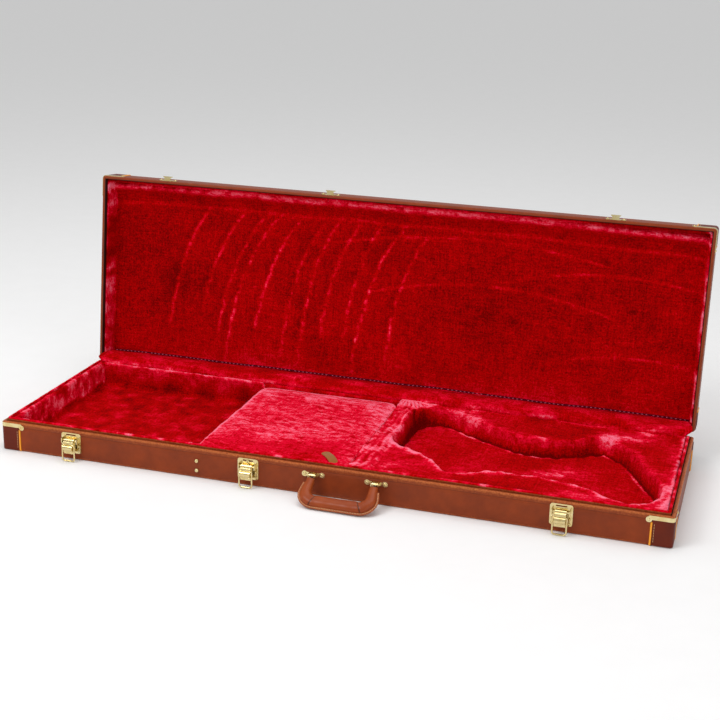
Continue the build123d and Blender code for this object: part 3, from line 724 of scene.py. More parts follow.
# %% Rim, foot and cradle of the recess
plateau = foam > (foam.min() + foam.max()) / 2
to_recess = soften(gap_from(~plateau, 18), 0.7) * GRID          # on the top, from the recess's edge
RIM, RIM_DROP = 9 * MM, 4.5 * MM        # how far the stuffed rim rounds over, and how far down
over = np.clip(1 - to_recess / RIM, 0, 1)
soft = soften(foam - np.where(plateau, RIM_DROP * (1 - np.sqrt(1 - over ** 2)), 0), 1.5 * MM / GRID)


def line_at(distance, middle, width):
    """1 on a line at some distance from an edge and fading on both sides. Sizes in millimetres."""
    return np.exp(-((distance - middle * MM) / (width * MM)) ** 2)


stuffed = line_at(to_recess, 6, 4) * plateau            # the bead that stuffing makes along the rim
to_foot = soften(gap_from(soft > foam.min() + 3 * MM, 12), 0.7) * GRID      # from the wall's foot
slope_x, slope_y = np.gradient(soften(foam, 4 * MM / GRID), GRID)
slope = np.hypot(slope_x, slope_y)
faces_back = np.clip(-slope_y / np.maximum(slope, 0.05), -1, 1)     # 1 where the surface falls to the back
edge_gap = np.minimum.reduce([Y - ys[0], ys[-1] - Y, xs[-1] - X])
swept_up = np.exp(-edge_gap / (11 * MM))
on_cradle = 1 - smooth_step(X, foam_low[0] - 4 * MM, foam_low[0] + 12 * MM)
front_rim = smooth_step(faces_back, -0.35, 0.3)
print("share of the lining on top:", round(float(plateau.mean()), 3))

# %% Pleats of the cradle and heights of the lining
# Pleats run along the cradle, uneven in width and depth, and fan out towards the front.
PLEAT_PITCH, PLEAT_DEEP = 8.5 * MM, 2.4 * MM
from_back_end = (ys[-1] - Y) / (ys[-1] - ys[0])
spread = 0.8 + 0.7 * from_back_end
middle_x = (cradle_low[0] + cradle_high[0]) / 2
pleat = (X - middle_x + 14 * MM * from_back_end) / spread + 2.6 * MM * waves(15, 3)
gathers = np.sin(math.pi * pleat / PLEAT_PITCH) ** 2 * np.clip(0.75 + 0.35 * waves(20, 14), 0.1, 1.3)
gathers *= 1.2 - 0.7 * from_back_end
knob = smooth_step(Y, ys[-1] - 34 * MM, ys[-1] - 16 * MM) * (1 - smooth_step(Y, ys[-1] - 14 * MM, ys[-1]))
heights = soft + 3.5 * MM * swept_up + 1.6 * MM * stuffed * front_rim
heights += on_cradle * (PLEAT_DEEP * gathers - 1.2 * MM + 2.0 * MM * knob)
heights += 0.6 * MM * waves(12, 5)
heights += np.clip(slope, 0, 1.2) * 0.8 * MM * waves(4.5, 7)
heights += 0.2 * MM * waves(3.2, 9)
heights = np.minimum(heights, tongue_high[2] - 0.6 * MM)
body_lining = make_piece("body_lining", *grid_solid(xs, ys, heights, panel + EDGE))
print("body lining:", len(body_lining.data.vertices), "points, top at", round(float(heights.max()), 4))

# %% Nap of the lining, with painted highlights and painted shade
patchy = np.clip(0.5 + 0.6 * waves(12, 11), 0, 1.5)
faint = np.clip(0.7 + 0.4 * waves(6, 13), 0.2, 1.3)
nap_and_painted_light = 0.19 + 0.05 * waves(20, 12)
# Painted highlight on the recess's rim where the fabric rolls away to the back, and broader patches of painted
# highlight along every rim.
nap_and_painted_light += 0.78 * line_at(to_recess, 5, 3.6) * plateau * front_rim * np.clip(faint + 0.15, 0.45, 1.3)
nap_and_painted_light += 0.25 * line_at(to_recess, 8, 6) * patchy * plateau
# Painted highlight in patches on the floor beside each wall's foot, and a line of painted shade in the crease at
# the foot.
nap_and_painted_light += 0.46 * line_at(to_foot, 5.6, 2.0) * patchy * (1 - plateau)
nap_and_painted_light -= 0.60 * line_at(to_foot, 2.2, 1.3) * (1 - plateau)
# Painted light on walls that face the front: lighter in their upper part, a little darker low down.
low_wall = 1 - smooth_step(soft, foam.min() + 8 * MM, foam.min() + 24 * MM)
facing_front = smooth_step(slope, 0.4, 1.6) * np.clip(0.4 - faces_back, 0, 1)
nap_and_painted_light += facing_front * (0.14 * (1 - low_wall) - 0.02 * low_wall)
# Painted highlight along the lining's outer edges, where it rolls up.
nap_and_painted_light += 0.30 * np.exp(-edge_gap / (5 * MM)) * patchy
# The cradle is painted lighter, with painted highlights on the pleats' ridges and on the knob at its back end.
nap_and_painted_light += on_cradle * (0.16 + 0.36 * gathers + 0.26 * knob + 0.10 * waves(7, 15))
faces_right = np.clip(-slope_x / np.maximum(slope, 0.05), 0, 1)     # the cradle's end, in its own shade
# Painted shade on the cradle's end, which faces right.
nap_and_painted_light -= 0.60 * faces_right * smooth_step(slope, 0.35, 1.0) * (1 - smooth_step(X, 0.105, 0.13))
BRUSHED_UP = (                  # middle and size in mm, turn in degrees, strength: where a hand has been
    ((335, -5), (48, 20), 25, 0.62), ((190, -60), (60, 14), 30, 0.25), ((440, 120), (70, 15), -6, 0.60),
    ((517, -60), (11, 95), 0, 0.55), ((450, -132), (80, 14), 0, 0.50), ((110, -112), (34, 12), 40, 0.60),
    ((130, 128), (60, 14), 0, 0.22), ((240, -45), (40, 10), -20, 0.26), ((105, -25), (26, 60), 20, 0.32))
for middle, size, turn, strength in BRUSHED_UP:
    nap_and_painted_light += strength * brushed_patch(X, Y, middle, size, turn) * np.clip(patchy, 0.3, 1.2)
nap_and_painted_light = np.clip(nap_and_painted_light, -0.25, 0.95)
hidden = len(body_lining.data.vertices) - nap_and_painted_light.size      # the pad's sides and underside
paint(body_lining, "nap_and_painted_light", np.concatenate([nap_and_painted_light.ravel(), np.zeros(hidden)]))
settle(body_lining, "base", "plush", red_pile, "neck_cradle", "body_foam", "body_floor_pad")
print("nap from", round(float(nap_and_painted_light.min()), 2), "to", round(float(nap_and_painted_light.max()), 2))

# %% [markdown]
# The compartment for the guitar's headstock and the accessory box under the neck are lined like deep
# trays: fabric over thin foam, rolled over at the top, with a soft curve down into the floor. Each is a
# loft of rings that step in from its own walls, with a different thickness of pad for each wall.

# %% A lined tray
TRAY_COUNTS = (70, 50, 5)
FLOOR_CURVE = 11 * MM           # how softly the lining turns down into the floor


def tray(name, low, high, pads, top, floor, seed):
    """A lined compartment. Pads are the thickness of the lining on the left, right, front and back."""
    left, right, front, back = pads
    deep = top - floor
    # Each step carries its nap: a painted highlight on the roll at the top, fading to painted shade down the wall.
    steps = [(0.0, low[2], 0.0), (0.0, top - 3 * MM, 0.3), (0.35, top - 0.6 * MM, 0.9), (0.7, top, 0.8)]
    steps += [(1.05, top - 1.2 * MM, 0.55), (1.2, top - 5 * MM, 0.3), (1.15, top - 0.4 * deep, 0.2)]
    steps += [(1.2, floor + 0.3 * deep, 0.1)]
    rings = [ring(low[0] + left * d, high[0] - right * d, low[1] + front * d, high[1] - back * d,
                  1.0 * MM + 2 * MM * d, z, TRAY_COUNTS) for d, z, _ in steps]
    naps_and_painted_light = [n for _, _, n in steps]
    x0, x1 = low[0] + 1.2 * left, high[0] - 1.2 * right
    y0, y1 = low[1] + 1.2 * front, high[1] - 1.2 * back
    # The curve into the floor starts in painted shade at the wall's foot and lightens towards the floor.
    for k in range(1, 5):
        angle = math.radians(90 * k / 4)
        d = FLOOR_CURVE * (1 - math.cos(angle)) * 0.9
        z = floor + FLOOR_CURVE * (1 - math.sin(angle))
        rings.append(ring(x0 + d, x1 - d, y0 + d, y1 - d, 4 * MM + d * 0.6, z, TRAY_COUNTS))
        naps_and_painted_light.append(-0.02 + 0.05 * k)
    inner = min(x1 - x0, y1 - y0) / 2 - FLOOR_CURVE
    turns = int(inner / (6 * MM))
    for k in range(1, turns):
        d = FLOOR_CURVE + inner * k / turns
        rings.append(ring(x0 + d, x1 - d, y0 + d, y1 - d, 5 * MM, floor, TRAY_COUNTS))
        naps_and_painted_light.append(0.17)
    piece = loft(name, rings, sharp_degrees=80)
    ruffle(piece, 1.6 * MM, 22 * MM, seed)
    ruffle(piece, 0.7 * MM, 6 * MM, seed + 1)
    uneven = np.array([noise.noise(v.co / 0.02) for v in piece.data.vertices])
    on_left = np.array([v.co.x < low[0] + 1.35 * left and v.co.z > floor + 3 * MM
                        for v in piece.data.vertices])
    on_left = on_left * (left > front)                  # only a thick pad is painted paler
    by_ring = np.repeat(naps_and_painted_light, len(rings[0]))
    paint(piece, "nap_and_painted_light", by_ring * (1 - on_left) + (0.25 + 0.35 * on_left) * uneven + 0.42 * on_left)
    return piece


print("a tray's floor curve is", 1000 * FLOOR_CURVE, "mm")

# %% Headstock and accessory trays
left_divider = corners_of("accessory_left_divider")
right_divider = corners_of("accessory_right_divider")
end_pad = corners_of("left_end_pad")
floor_pad = corners_of("headstock_floor_pad")
AIR = 0.4 * MM
tray_low = (end_pad[0][0] + tongue + AIR, -clear_y + AIR, panel + AIR)
tray_high = (left_divider[0][0] - AIR, clear_y - AIR, 0)
pads = (end_pad[1][0] - end_pad[0][0] - tongue, 3 * MM, 4 * MM, 4 * MM)
headstock_tray = tray(
    "headstock_tray", tray_low, tray_high, pads, end_pad[1][2] + 3.5 * MM, floor_pad[1][2], 1.0)
under_lid = left_divider[1][2] - AIR
for vertex in headstock_tray.data.vertices:
    if vertex.co.x > left_divider[0][0] - 9 * MM:
        vertex.co.z = min(vertex.co.z, under_lid)
settle(headstock_tray, "base", "plush", red_pile,
       "headstock_floor_pad", "headstock_wall_linings", "left_end_pad")

ledge = corners_of("accessory_lid_ledge")
box_floor = corners_of("accessory_floor_pad")
tray_low = (left_divider[1][0] + AIR, -clear_y + AIR, panel + AIR)
tray_high = (right_divider[0][0] - AIR, ledge[0][1] - AIR, 0)
box_tray = tray(
    "accessory_tray", tray_low, tray_high, (2 * MM,) * 4, ledge[1][2] - 2 * MM, box_floor[1][2], 5.0)
settle(box_tray, "base", "plush", red_pile, "accessory_floor_pad")
print("trays:", len(headstock_tray.data.vertices), len(box_tray.data.vertices), "points")

# %% [markdown]
# The dividers and the ledge are boards with the same fabric glued round them, so each is a loft of its
# design board with rounded top edges. Behind the box's lid a stuffed roll fills the slot up to the hinge
# strip.

# %% Covered boards
BOARD_ROUND = 1.8 * MM


def covered_board(name, node):
    """A board under a skin of fabric that rounds its edges, standing for a design board."""
    (x0, y0, z0), (x1, y1, z1) = corners_of(node)
    y0, y1 = max(y0, -clear_y), min(y1, clear_y)        # its foot runs on under the tongue, out of sight
    steps = [(0, z0), *((0, z0 + (z1 - BOARD_ROUND - z0) * k / 4) for k in (1, 2, 3, 4))]
    steps += [(BOARD_ROUND * (1 - math.cos(t)), z1 - BOARD_ROUND * (1 - math.sin(t)))
              for t in np.radians((22, 45, 68, 90))]
    rings = [ring(x0 + d, x1 - d, y0 + d, y1 - d, 1.0 * MM, z, (24, 60, 3)) for d, z in steps]
    board_skin = loft(name, rings, sharp_degrees=80)
    nap_here = [0.30 + 0.35 * noise.noise(v.co / 0.015) for v in board_skin.data.vertices]
    paint(board_skin, "nap_and_painted_light", nap_here)
    settle(board_skin, "base", "plush", red_pile, node)


for name, node in (("left_divider_cover", "accessory_left_divider"),
                   ("right_divider_cover", "accessory_right_divider"),
                   ("box_ledge_cover", "accessory_lid_ledge")):
    covered_board(name, node)
    print(name, "stands for", node)

# %% Roll behind the box's lid
roll_x = graded(left_divider[0][0] - 6 * MM, right_divider[1][0] + 6.5 * MM, 2 * MM, 6 * MM, 12 * MM)
roll_front = corners_of("accessory_lid_board")[1][1] + 1.6 * MM
roll_back = ledge[1][1] - 1.2 * MM
half_roll, roll_middle = (roll_back - roll_front) / 2, (roll_back + roll_front) / 2
roll_foot, roll_tall = ledge[1][2] + 0.1 * MM, 9.5 * MM
slot_rings = []
for x in roll_x:
    turns = [math.pi * k / 10 for k in range(11)]
    one = [(x, roll_middle - half_roll * math.cos(t), roll_foot + roll_tall * abs(math.sin(t)) ** 0.5)
           for t in turns]
    slot_rings.append(one)
slot_roll = loft("box_slot_roll", slot_rings, sharp_degrees=80)
ruffle(slot_roll, 0.5 * MM, 9 * MM, 8.0)
paint(slot_roll, "nap_and_painted_light", [0.25 + 0.3 * noise.noise(v.co / 0.02) for v in slot_roll.data.vertices])
settle(slot_roll, "base", "plush", red_pile)
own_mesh(slot_roll)
print("slot roll is", round(1000 * (roll_back - roll_front), 1), "mm wide")

# %% [markdown]
# ## The accessory box's lid
# It is a thin board with padding and pile fabric pulled over it, rounded at its two back corners. Real
# padding pushes its fabric out until the fabric is tight, which is just what a cloth simulation with
# air pressure does, so the pad is made a little thin and blown up, with its edges held to the board.

# %% Blow up cloth with a simulation
def inflate(piece, held, pressure, most, frames=20):
    """Blows cloth up against its held points, and keeps any point from moving further than most."""
    rest = np.array([v.co for v in piece.data.vertices])
    piece.vertex_groups.new(name="held").add(held, 1.0, "REPLACE")
    cloth = piece.modifiers.new("Cloth", "CLOTH")
    cloth.settings.use_pressure = True
    cloth.settings.uniform_pressure_force = pressure
    cloth.settings.vertex_group_mass = "held"
    cloth.settings.effector_weights.gravity = 0
    cloth.collision_settings.use_collision = False
    for step in range(1, frames + 1):
        bpy.context.scene.frame_set(step)
    blown = piece.evaluated_get(bpy.context.evaluated_depsgraph_get()).data
    moved = np.array([v.co for v in blown.vertices]) - rest
    length = np.linalg.norm(moved, axis=1, keepdims=True)
    moved *= np.minimum(1, most / np.maximum(length, 1e-9))
    piece.modifiers.remove(cloth)
    piece.vertex_groups.clear()
    bpy.context.scene.frame_set(1)
    piece.data.vertices.foreach_set("co", (rest + moved).ravel())
    piece.data.update()
    return float(np.abs(moved).max())


def round_corner(x, y, cx, cy, radius, sx, sy):
    """Moves a point of a square corner into a round one about the centre (cx, cy)."""
    dx, dy = (x - cx) * sx, (y - cy) * sy
    if dx <= 0 or dy <= 0:
        return x, y
    shrink = max(dx, dy) / math.hypot(dx, dy)
    return cx + sx * dx * shrink, cy + sy * dy * shrink


print("a square corner of 1 m rounds to", round(round_corner(1, 1, 0, 0, 1, 1, 1)[0], 3))

# %% Shape of the pad before it is blown up
lid_board = corners_of("accessory_lid_board")
lid_pad = corners_of("accessory_lid_pad")
LAP = 0.8 * MM                  # how far the fabric stands past the board's edge
BACK_ROUND = 24 * MM            # the two round corners at the hinge
pad_x = graded(lid_pad[0][0] - LAP, lid_pad[1][0] + LAP, 1.6 * MM, 5 * MM, 10 * MM)
pad_y = graded(lid_pad[0][1] - LAP, lid_pad[1][1] - AIR, 1.6 * MM, 5 * MM, 10 * MM)
PX, PY = np.meshgrid(pad_x, pad_y, indexing="ij")
from_edge = np.minimum.reduce([PX - pad_x[0], pad_x[-1] - PX, PY - pad_y[0], pad_y[-1] - PY])
thick = lid_pad[1][2] - lid_board[0][2]
roll_in = np.sqrt(np.clip(1 - (1 - np.clip(from_edge / (7 * MM), 0, 1)) ** 2, 0, 1))
pad_z = lid_board[0][2] + AIR + (thick - AIR) * (0.35 + 0.65 * roll_in)
pad_points, pad_faces = grid_solid(pad_x, pad_y, pad_z, lid_board[0][2] + AIR)
for index, (x, y, z) in enumerate(pad_points):
    for sx, cx in ((-1, pad_x[0] + BACK_ROUND), (1, pad_x[-1] - BACK_ROUND)):
        x, y = round_corner(x, y, cx, pad_y[-1] - BACK_ROUND, BACK_ROUND, sx, 1)
    pad_points[index] = (x, y, z)
accessory_pad = make_piece("accessory_lid_cushion", pad_points, pad_faces, 70)
top_count = pad_z.size
print("pad:", len(pad_points), "points,", top_count, "of them on top")

# %% Blow the pad up
edge_points = [i for i in range(top_count) if from_edge.ravel()[i] < 2 * MM]
grown = inflate(accessory_pad, edge_points + list(range(top_count, len(pad_points))), 4.0, 2.2 * MM)
print("the pad swelled by", round(grown * 1000, 2), "mm")
ruffle(accessory_pad, 1.3 * MM, 45 * MM, 2.0)
ruffle(accessory_pad, 0.5 * MM, 9 * MM, 4.0)
# The lid stands up on its back edge, so the padding is thin there and clears the hinge strip.
THIN_EDGE, THIN_SLOPE = 4.6 * MM, 0.15
for vertex in accessory_pad.data.vertices:
    behind = pad_y[-1] - vertex.co.y
    vertex.co.z = min(vertex.co.z, lid_board[0][2] + THIN_EDGE + THIN_SLOPE * behind)
    vertex.co.y = min(vertex.co.y, lid_board[1][1] - 0.3 * MM)
    vertex.co.z = max(vertex.co.z, lid_board[0][2] + 0.2 * MM)
print("pad's top at", round(max(v.co.z for v in accessory_pad.data.vertices), 4))

# %% Board under the pad
# The board has the pad's two round corners, so that it stays under the fabric.
(bx0, by0, bz0), (bx1, by1, bz1) = lid_board
board_rings = []
for inset, z in ((0.4, bz0), (0, bz0 + 0.4 * MM), (0, bz1 - 0.4 * MM), (0.4, bz1)):
    d = inset * MM
    outline = [(bx0 + d, by0 + d), (bx1 - d, by0 + d)]
    for cx, start in ((bx1 - BACK_ROUND, 0), (bx0 + BACK_ROUND, 90)):
        for turn in np.radians(start + np.linspace(0, 90, 9)):
            reach = BACK_ROUND - d
            outline.append((cx + reach * math.cos(turn), by1 - BACK_ROUND + reach * math.sin(turn)))
    board_rings.append([(x, y, z) for x, y in outline])
box_board = loft("accessory_lid_rounded_board", board_rings)
settle(box_board, "accessory_lid", "bare_wood", plywood, "accessory_lid_board")
print("board:", len(board_rings[0]), "points round its outline")

# %% Nap of the pad, with painted highlights
share_y = (PY - pad_y[0]) / (pad_y[-1] - pad_y[0])
to_rim = np.minimum.reduce([PX - pad_x[0], pad_y[-1] - PY])
cloudy = lumps(PX.shape, 5, 21)
# Darker towards the pad's front, with painted highlights along its left and back rim, its front edge and towards
# its right side.
pad_nap_and_painted_light = 0.35 + 0.18 * smooth_step(share_y, 0.08, 0.35) + 0.10 * smooth_step(share_y, 0.75, 0.95)
pad_nap_and_painted_light += 0.05 * cloudy
pad_nap_and_painted_light += 0.45 * line_at(to_rim, 2, 3) + 0.12 * np.exp(-to_rim / (22 * MM))
pad_nap_and_painted_light += 0.25 * np.exp(-(PY - pad_y[0]) / (5 * MM)) + 0.2 * np.exp(-(pad_x[-1] - PX) / (16 * MM))
paint(accessory_pad, "nap_and_painted_light", np.concatenate([pad_nap_and_painted_light.ravel(), np.full(len(pad_points) - top_count, 0.4)]))
settle(accessory_pad, "accessory_lid", "plush", red_pile, "accessory_lid_pad")
print("pad nap from", round(float(pad_nap_and_painted_light.min()), 2), "to", round(float(pad_nap_and_painted_light.max()), 2))

# %% [markdown]
# A suede tab is sewn under the lid's front edge and lies back over it. It is a flat strip with a round
# end, so its outline is swept along a low arch and then given its thickness.

# %% Pull tab
tab_low, tab_high = corners_of("accessory_pull_tab")
TAB_WIDTH, TAB_LENGTH, TAB_THICK, TAB_ROUND = 14 * MM, 38 * MM, 1.5 * MM, 3.5 * MM
tab_turn = math.radians(40)
tab_middle = (tab_low + tab_high) / 2
tab_along = np.array([-math.sin(tab_turn), math.cos(tab_turn), 0])
tab_across = np.array([math.cos(tab_turn), math.sin(tab_turn), 0])
pad_mesh = accessory_pad.data
pad_tree = BVHTree.FromPolygons(
    [v.co.copy() for v in pad_mesh.vertices], [tuple(p.vertices) for p in pad_mesh.polygons])


def pad_top(x, y):
    """Height of the blown-up pad, so that the tab lies on it."""
    hit = pad_tree.ray_cast(Vector((x, y, 1)), down)[0]
    return hit.z if hit else tab_middle[2]


TAB_TUCK = 4 * MM               # the part of the tab that is sewn in
# The tab's section in half widths and half thicknesses, with soft edges.
tab_section = [(-1, -0.5), (-0.94, 0.7), (-0.8, 1), (-0.3, 1.05), (0.3, 1.05), (0.8, 1)]
tab_section += [(0.94, 0.7), (1, -0.5), (0.9, -1), (-0.9, -1)]
tab_rings = []
for k in range(17):
    t = k / 16
    s = (t - 0.5) * (TAB_LENGTH + TAB_TUCK)
    to_end = min(1.0, max(0.0, 1 - (TAB_LENGTH / 2 + 2 * MM - s) / TAB_ROUND))
    half = TAB_WIDTH / 2 - TAB_ROUND * (1 - math.sqrt(1 - to_end ** 2))
    arch = 1.5 * MM * math.sin(math.pi * min(1, t * 1.15)) - 3.5 * MM * max(0, 0.16 - t) / 0.16
    middle = tab_middle + tab_along * s
    middle[2] = max(middle[2] + 0.6 * MM, pad_top(middle[0], middle[1]) + 0.9 * MM) + arch
    up = np.array([0, 0, TAB_THICK / 2])
    tab_rings.append([tuple(middle + tab_across * half * a + up * b) for a, b in tab_section])
pull_tab = loft("accessory_tab", tab_rings, sharp_degrees=60)
settle(pull_tab, "accessory_lid", "tan_leather", suede, "accessory_pull_tab")
print("tab:", round(1000 * TAB_LENGTH), "by", round(1000 * TAB_WIDTH), "mm")

# %% [markdown]
# ## The lid's lining
# A board with thin foam and pile fabric is pressed into the lid, with narrow strips up its walls and a
# fuller roll along the front rim. The fabric is one grid of heights again, closer together near the
# walls, where it turns. A hand has brushed it, and has left curved tracks of pile that leans the other
# way. They are painted as nap, each track a curve: steep ones on the left and a few wide arcs.

# %% Heights of the lid's lining
face_low, face_high = corners_of("lid_panel_pad", closed=True)
strip_low, _ = corners_of("lid_wall_linings", closed=True)
lx = graded(face_low[0] + AIR, face_high[0] - AIR, 0.8 * MM, 2.6 * MM, 11 * MM)
ly = graded(face_low[1] + AIR, face_high[1] - AIR, 0.8 * MM, 2.6 * MM, 11 * MM)
LX, LY = np.meshgrid(lx, ly, indexing="ij")
wall_rise = face_low[2] - strip_low[2]
from_side = np.minimum(LX - lx[0], lx[-1] - LX)
from_front = LY - ly[0]
from_back = ly[-1] - LY
wobble = lumps((len(lx), 1), 14, 31) * 0.8 * MM + lumps((len(lx), 1), 60, 32) * 2.2 * MM
side_rise = wall_rise * (1 - smooth_step(from_side, 2.2 * MM, 5.5 * MM))
side_rise += 2 * MM * np.exp(-(from_side / (6 * MM)) ** 2)
front_rise = wall_rise * (1 - smooth_step(from_front, 2.5 * MM, 6.5 * MM))
front_rise += 12 * MM * line_at(from_front - wobble, 11, 8)          # the fuller roll along the rim
crease = 1.6 * MM * line_at(from_front - 1.6 * wobble, 37, 3.5)
rise = np.maximum(side_rise, front_rise) - crease
rise += 0.9 * MM * lumps(LX.shape, 18, 33) * smooth_step(from_back, 0, 20 * MM)
rise += 0.22 * MM * lumps(LX.shape, 3, 34) + 1.6 * MM * np.exp(-(from_back / (7 * MM)) ** 2)

rise = np.minimum(rise, wall_rise)                  # so that the closed lid clears the tongue and its roll
print("lid lining rises", round(float(rise.min()), 4), "to", round(float(rise.max()), 4))

# %% Tracks brushed into the lid's lining
def track(distance, width, along, strength):
    """Nap left by a finger: a narrow line, broken up along its length."""
    return strength * np.exp(-(distance / width) ** 2) * along


height_share = (LY[0, -1] - LY) / (ly[-1] - ly[0])          # 0 at the hinge, 1 at the front rim
fall = np.clip(1 - height_share / 0.9, 0, 1)
broken = np.clip(0.75 + 0.45 * lumps(LX.shape, 4, 36), 0, 1.3)
lid_nap_and_painted_light = 0.05 + 0.035 * lumps(LX.shape, 22, 35) + 0.015 * lumps(LX.shape, 5, 37)
TRACK_TOPS = (-340, -270, -228, -200, -160, -118, -95, -55, -17, 28, 75)     # along the front rim, in mm
jitter = np.random.default_rng(38)
for k, top_x in enumerate(TRACK_TOPS):
    sweep = jitter.uniform(0.075, 0.105) + 0.02 * (1 < k < 5)
    line = top_x * MM - sweep * (1 - np.exp(-2.4 * fall)) + 1.0 * MM * lumps((1, LX.shape[1]), 1.5, 50 + k)
    ends = jitter.uniform(0.7, 1.1)
    reach = smooth_step(fall, 0.0, 0.08) * (1 - smooth_step(fall, ends - 0.25, ends + 0.1))
    dots, gaps = lumps(LX.shape, 0.8, 70 + k), lumps(LX.shape, 6, 90 + k)
    dotted = np.clip(0.75 + 0.35 * dots + 0.25 * gaps, 0.1, 1.5)
    lid_nap_and_painted_light += track(LX - line, jitter.uniform(2.4, 3.4) * MM, reach * dotted, jitter.uniform(0.24, 0.38))
    # Painted shade beside each track, on its left.
    lid_nap_and_painted_light -= track(LX - line + 9 * MM, 7 * MM, reach, 0.05)
WIDE_ARCS = (                   # middle in metres, share of the lid's height, half width, drop at the ends
    (0.14, 0.84, 0.25, 0.09), (0.39, 0.72, 0.20, 0.10), (0.17, 0.60, 0.23, 0.12), (0.43, 0.30, 0.12, 0.05))
for middle_x, top_share, half_wide, drop in WIDE_ARCS:
    along = (LX - middle_x) / half_wide
    arc = top_share - drop * along ** 2
    reach = 1 - smooth_step(np.abs(along), 0.85, 1.05)
    away = (height_share - arc) * (ly[-1] - ly[0])
    lid_nap_and_painted_light += track(away, 2.4 * MM, reach * np.clip(broken, 0.5, 1.2), 0.19)
print("tracks:", len(TRACK_TOPS), "steep and", len(WIDE_ARCS), "wide")

# %% Painted highlights on the lid lining's edges, and the lining itself
# Painted highlight on the roll along the front rim, and a fainter one just past the crease.
lid_nap_and_painted_light += 0.55 * line_at(from_front - wobble, 10, 7)
lid_nap_and_painted_light += 0.15 * line_at(from_front - 1.6 * wobble, 40, 3)
# Painted highlight along the side edges, broken up.
side_highlight_breaks = np.clip(0.7 + 0.5 * lumps(LX.shape, 2.5, 39), 0.1, 1.5)
lid_nap_and_painted_light += 0.52 * line_at(from_side, 2.5, 3.4) * side_highlight_breaks
# Lighter towards the hinge edge, with a broken painted highlight on the roll right at that edge.
lid_nap_and_painted_light += 0.16 * np.exp(-from_back / (35 * MM)) + 0.3 * np.exp(-from_back / (4 * MM)) * broken
lining_points, lining_faces = grid_solid(lx, ly, face_low[2] - rise, face_high[2] - AIR)
lid_lining = lid_open(make_piece("lid_lining", lining_points, lining_faces, 75))
paint(lid_lining, "nap_and_painted_light", np.concatenate([np.clip(lid_nap_and_painted_light, -0.1, 1).ravel(),
                                         np.zeros(len(lining_points) - lid_nap_and_painted_light.size)]))
settle(lid_lining, "lid", "plush", red_pile, "lid_panel_pad", "lid_wall_linings")
print("lid lining:", len(lining_points), "points")

# %% [markdown]
# A strip of padded fabric bridges the hinge line, so that nothing falls behind the lining. On the case
# it is held in the base at its front edge and in the lid at its back edge; here it is drawn once, as
# it lies with the lid open, and belongs to neither.

# %% Section of the hinge strip
flap_low, flap_high = corners_of("lid_hinge_flap", closed=True)
lid_foot = swing([(0, flap_low[1], flap_high[2])], open_angle)[0]
lid_lip = swing([(0, flap_low[1], flap_low[2])], open_angle)[0]
rim_y, rim_z = clear_y, tongue_high[2]
section = [(rim_y + y * MM, rim_z + z * MM) for y, z in ((0.2, -8), (-0.4, -2), (1.6, 3.8), (7, 7.6))]
section += [(lid_lip[1] + y * MM, lid_lip[2] + z * MM) for y, z in ((-2, 1.6), (12, 1.0))]
section += [(lid_foot[1] - 1.5 * MM, lid_foot[2] + 0.2 * MM)]


def through(knots, count):
    """Evenly spread points on a smooth curve through a few knots."""
    knots = np.array(knots, float)
    ends = np.vstack([2 * knots[0] - knots[1], knots, 2 * knots[-1] - knots[-2]])
    found = []
    for t in np.linspace(0, len(knots) - 1, count):
        i = min(int(t), len(knots) - 2)
        u = t - i
        a, b, c, d = ends[i:i + 4]
        found.append(0.5 * (2 * b + (c - a) * u + (2 * a - 5 * b + 4 * c - d) * u ** 2
                            + (3 * b - a - 3 * c + d) * u ** 3))
    return np.array(found)


curve = through(section, 22)
along = np.gradient(curve, axis=0)
outward = np.column_stack([-along[:, 1], along[:, 0]]) / np.linalg.norm(along, axis=1)[:, None]
print("strip's section is", round(1000 * walked(curve)[-1], 1), "mm round")

# %% Hinge strip
FLAP_THICK = 2.2 * MM
FLAP_END = 6 * MM               # how much the strip's ends bulge past the lining
flap_half = flap_high[0] - AIR
stations = graded(-flap_half - FLAP_END, flap_half + FLAP_END, 1.5 * MM, 6 * MM, 15 * MM)
station_waves = lumps((len(stations), len(curve)), 2.0, 41)
flap_rings, flap_nap_and_painted_light = [], []
bulge = np.sin(np.linspace(0, math.pi, len(curve))) ** 2
for i, x in enumerate(stations):
    beyond = max(0.0, abs(x) - flap_half + FLAP_END)
    past = beyond / (2 * FLAP_END)
    reach = flap_half - FLAP_END + beyond * bulge if beyond else np.full(len(curve), abs(x))
    swell = (1.1 * MM * station_waves[i] * bulge) + 1.2 * MM * bulge - past ** 3 * 3.0 * MM * bulge
    top = curve + outward * swell[:, None]
    low = curve - outward * (FLAP_THICK * (1 - 0.4 * past))
    x_row = np.copysign(reach, x)
    flap_rings.append([(x_row[k], *top[k]) for k in range(len(curve))]
                      + [(x_row[k], *low[k]) for k in reversed(range(len(curve)))])
    # Painted highlight along the fold near the strip's front edge, and painted shade at its other end, along the
    # seam with the lid's lining.
    fold = 0.24 + 0.22 * np.exp(-((np.arange(len(curve)) - 5) / 1.6) ** 2) * (0.6 + 0.5 * station_waves[i])
    fold += 0.08 * station_waves[i] - 0.5 * smooth_step(np.arange(len(curve)), len(curve) - 4, len(curve) - 1)
    flap_nap_and_painted_light += [*fold, *([0.1] * len(curve))]
hinge_strip = loft("hinge_strip", flap_rings, sharp_degrees=80)
paint(hinge_strip, "nap_and_painted_light", flap_nap_and_painted_light)
settle(hinge_strip, None, "plush", red_pile, "lid_hinge_flap")
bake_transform(hinge_strip)
print("hinge strip:", len(hinge_strip.data.vertices), "points")

# %% [markdown]
# Where the strip meets the lid's lining, a narrow dark tape covers the seam, and pink stitches hold it.
# Both follow the lid, because the seam is sewn to the lining's lower edge.

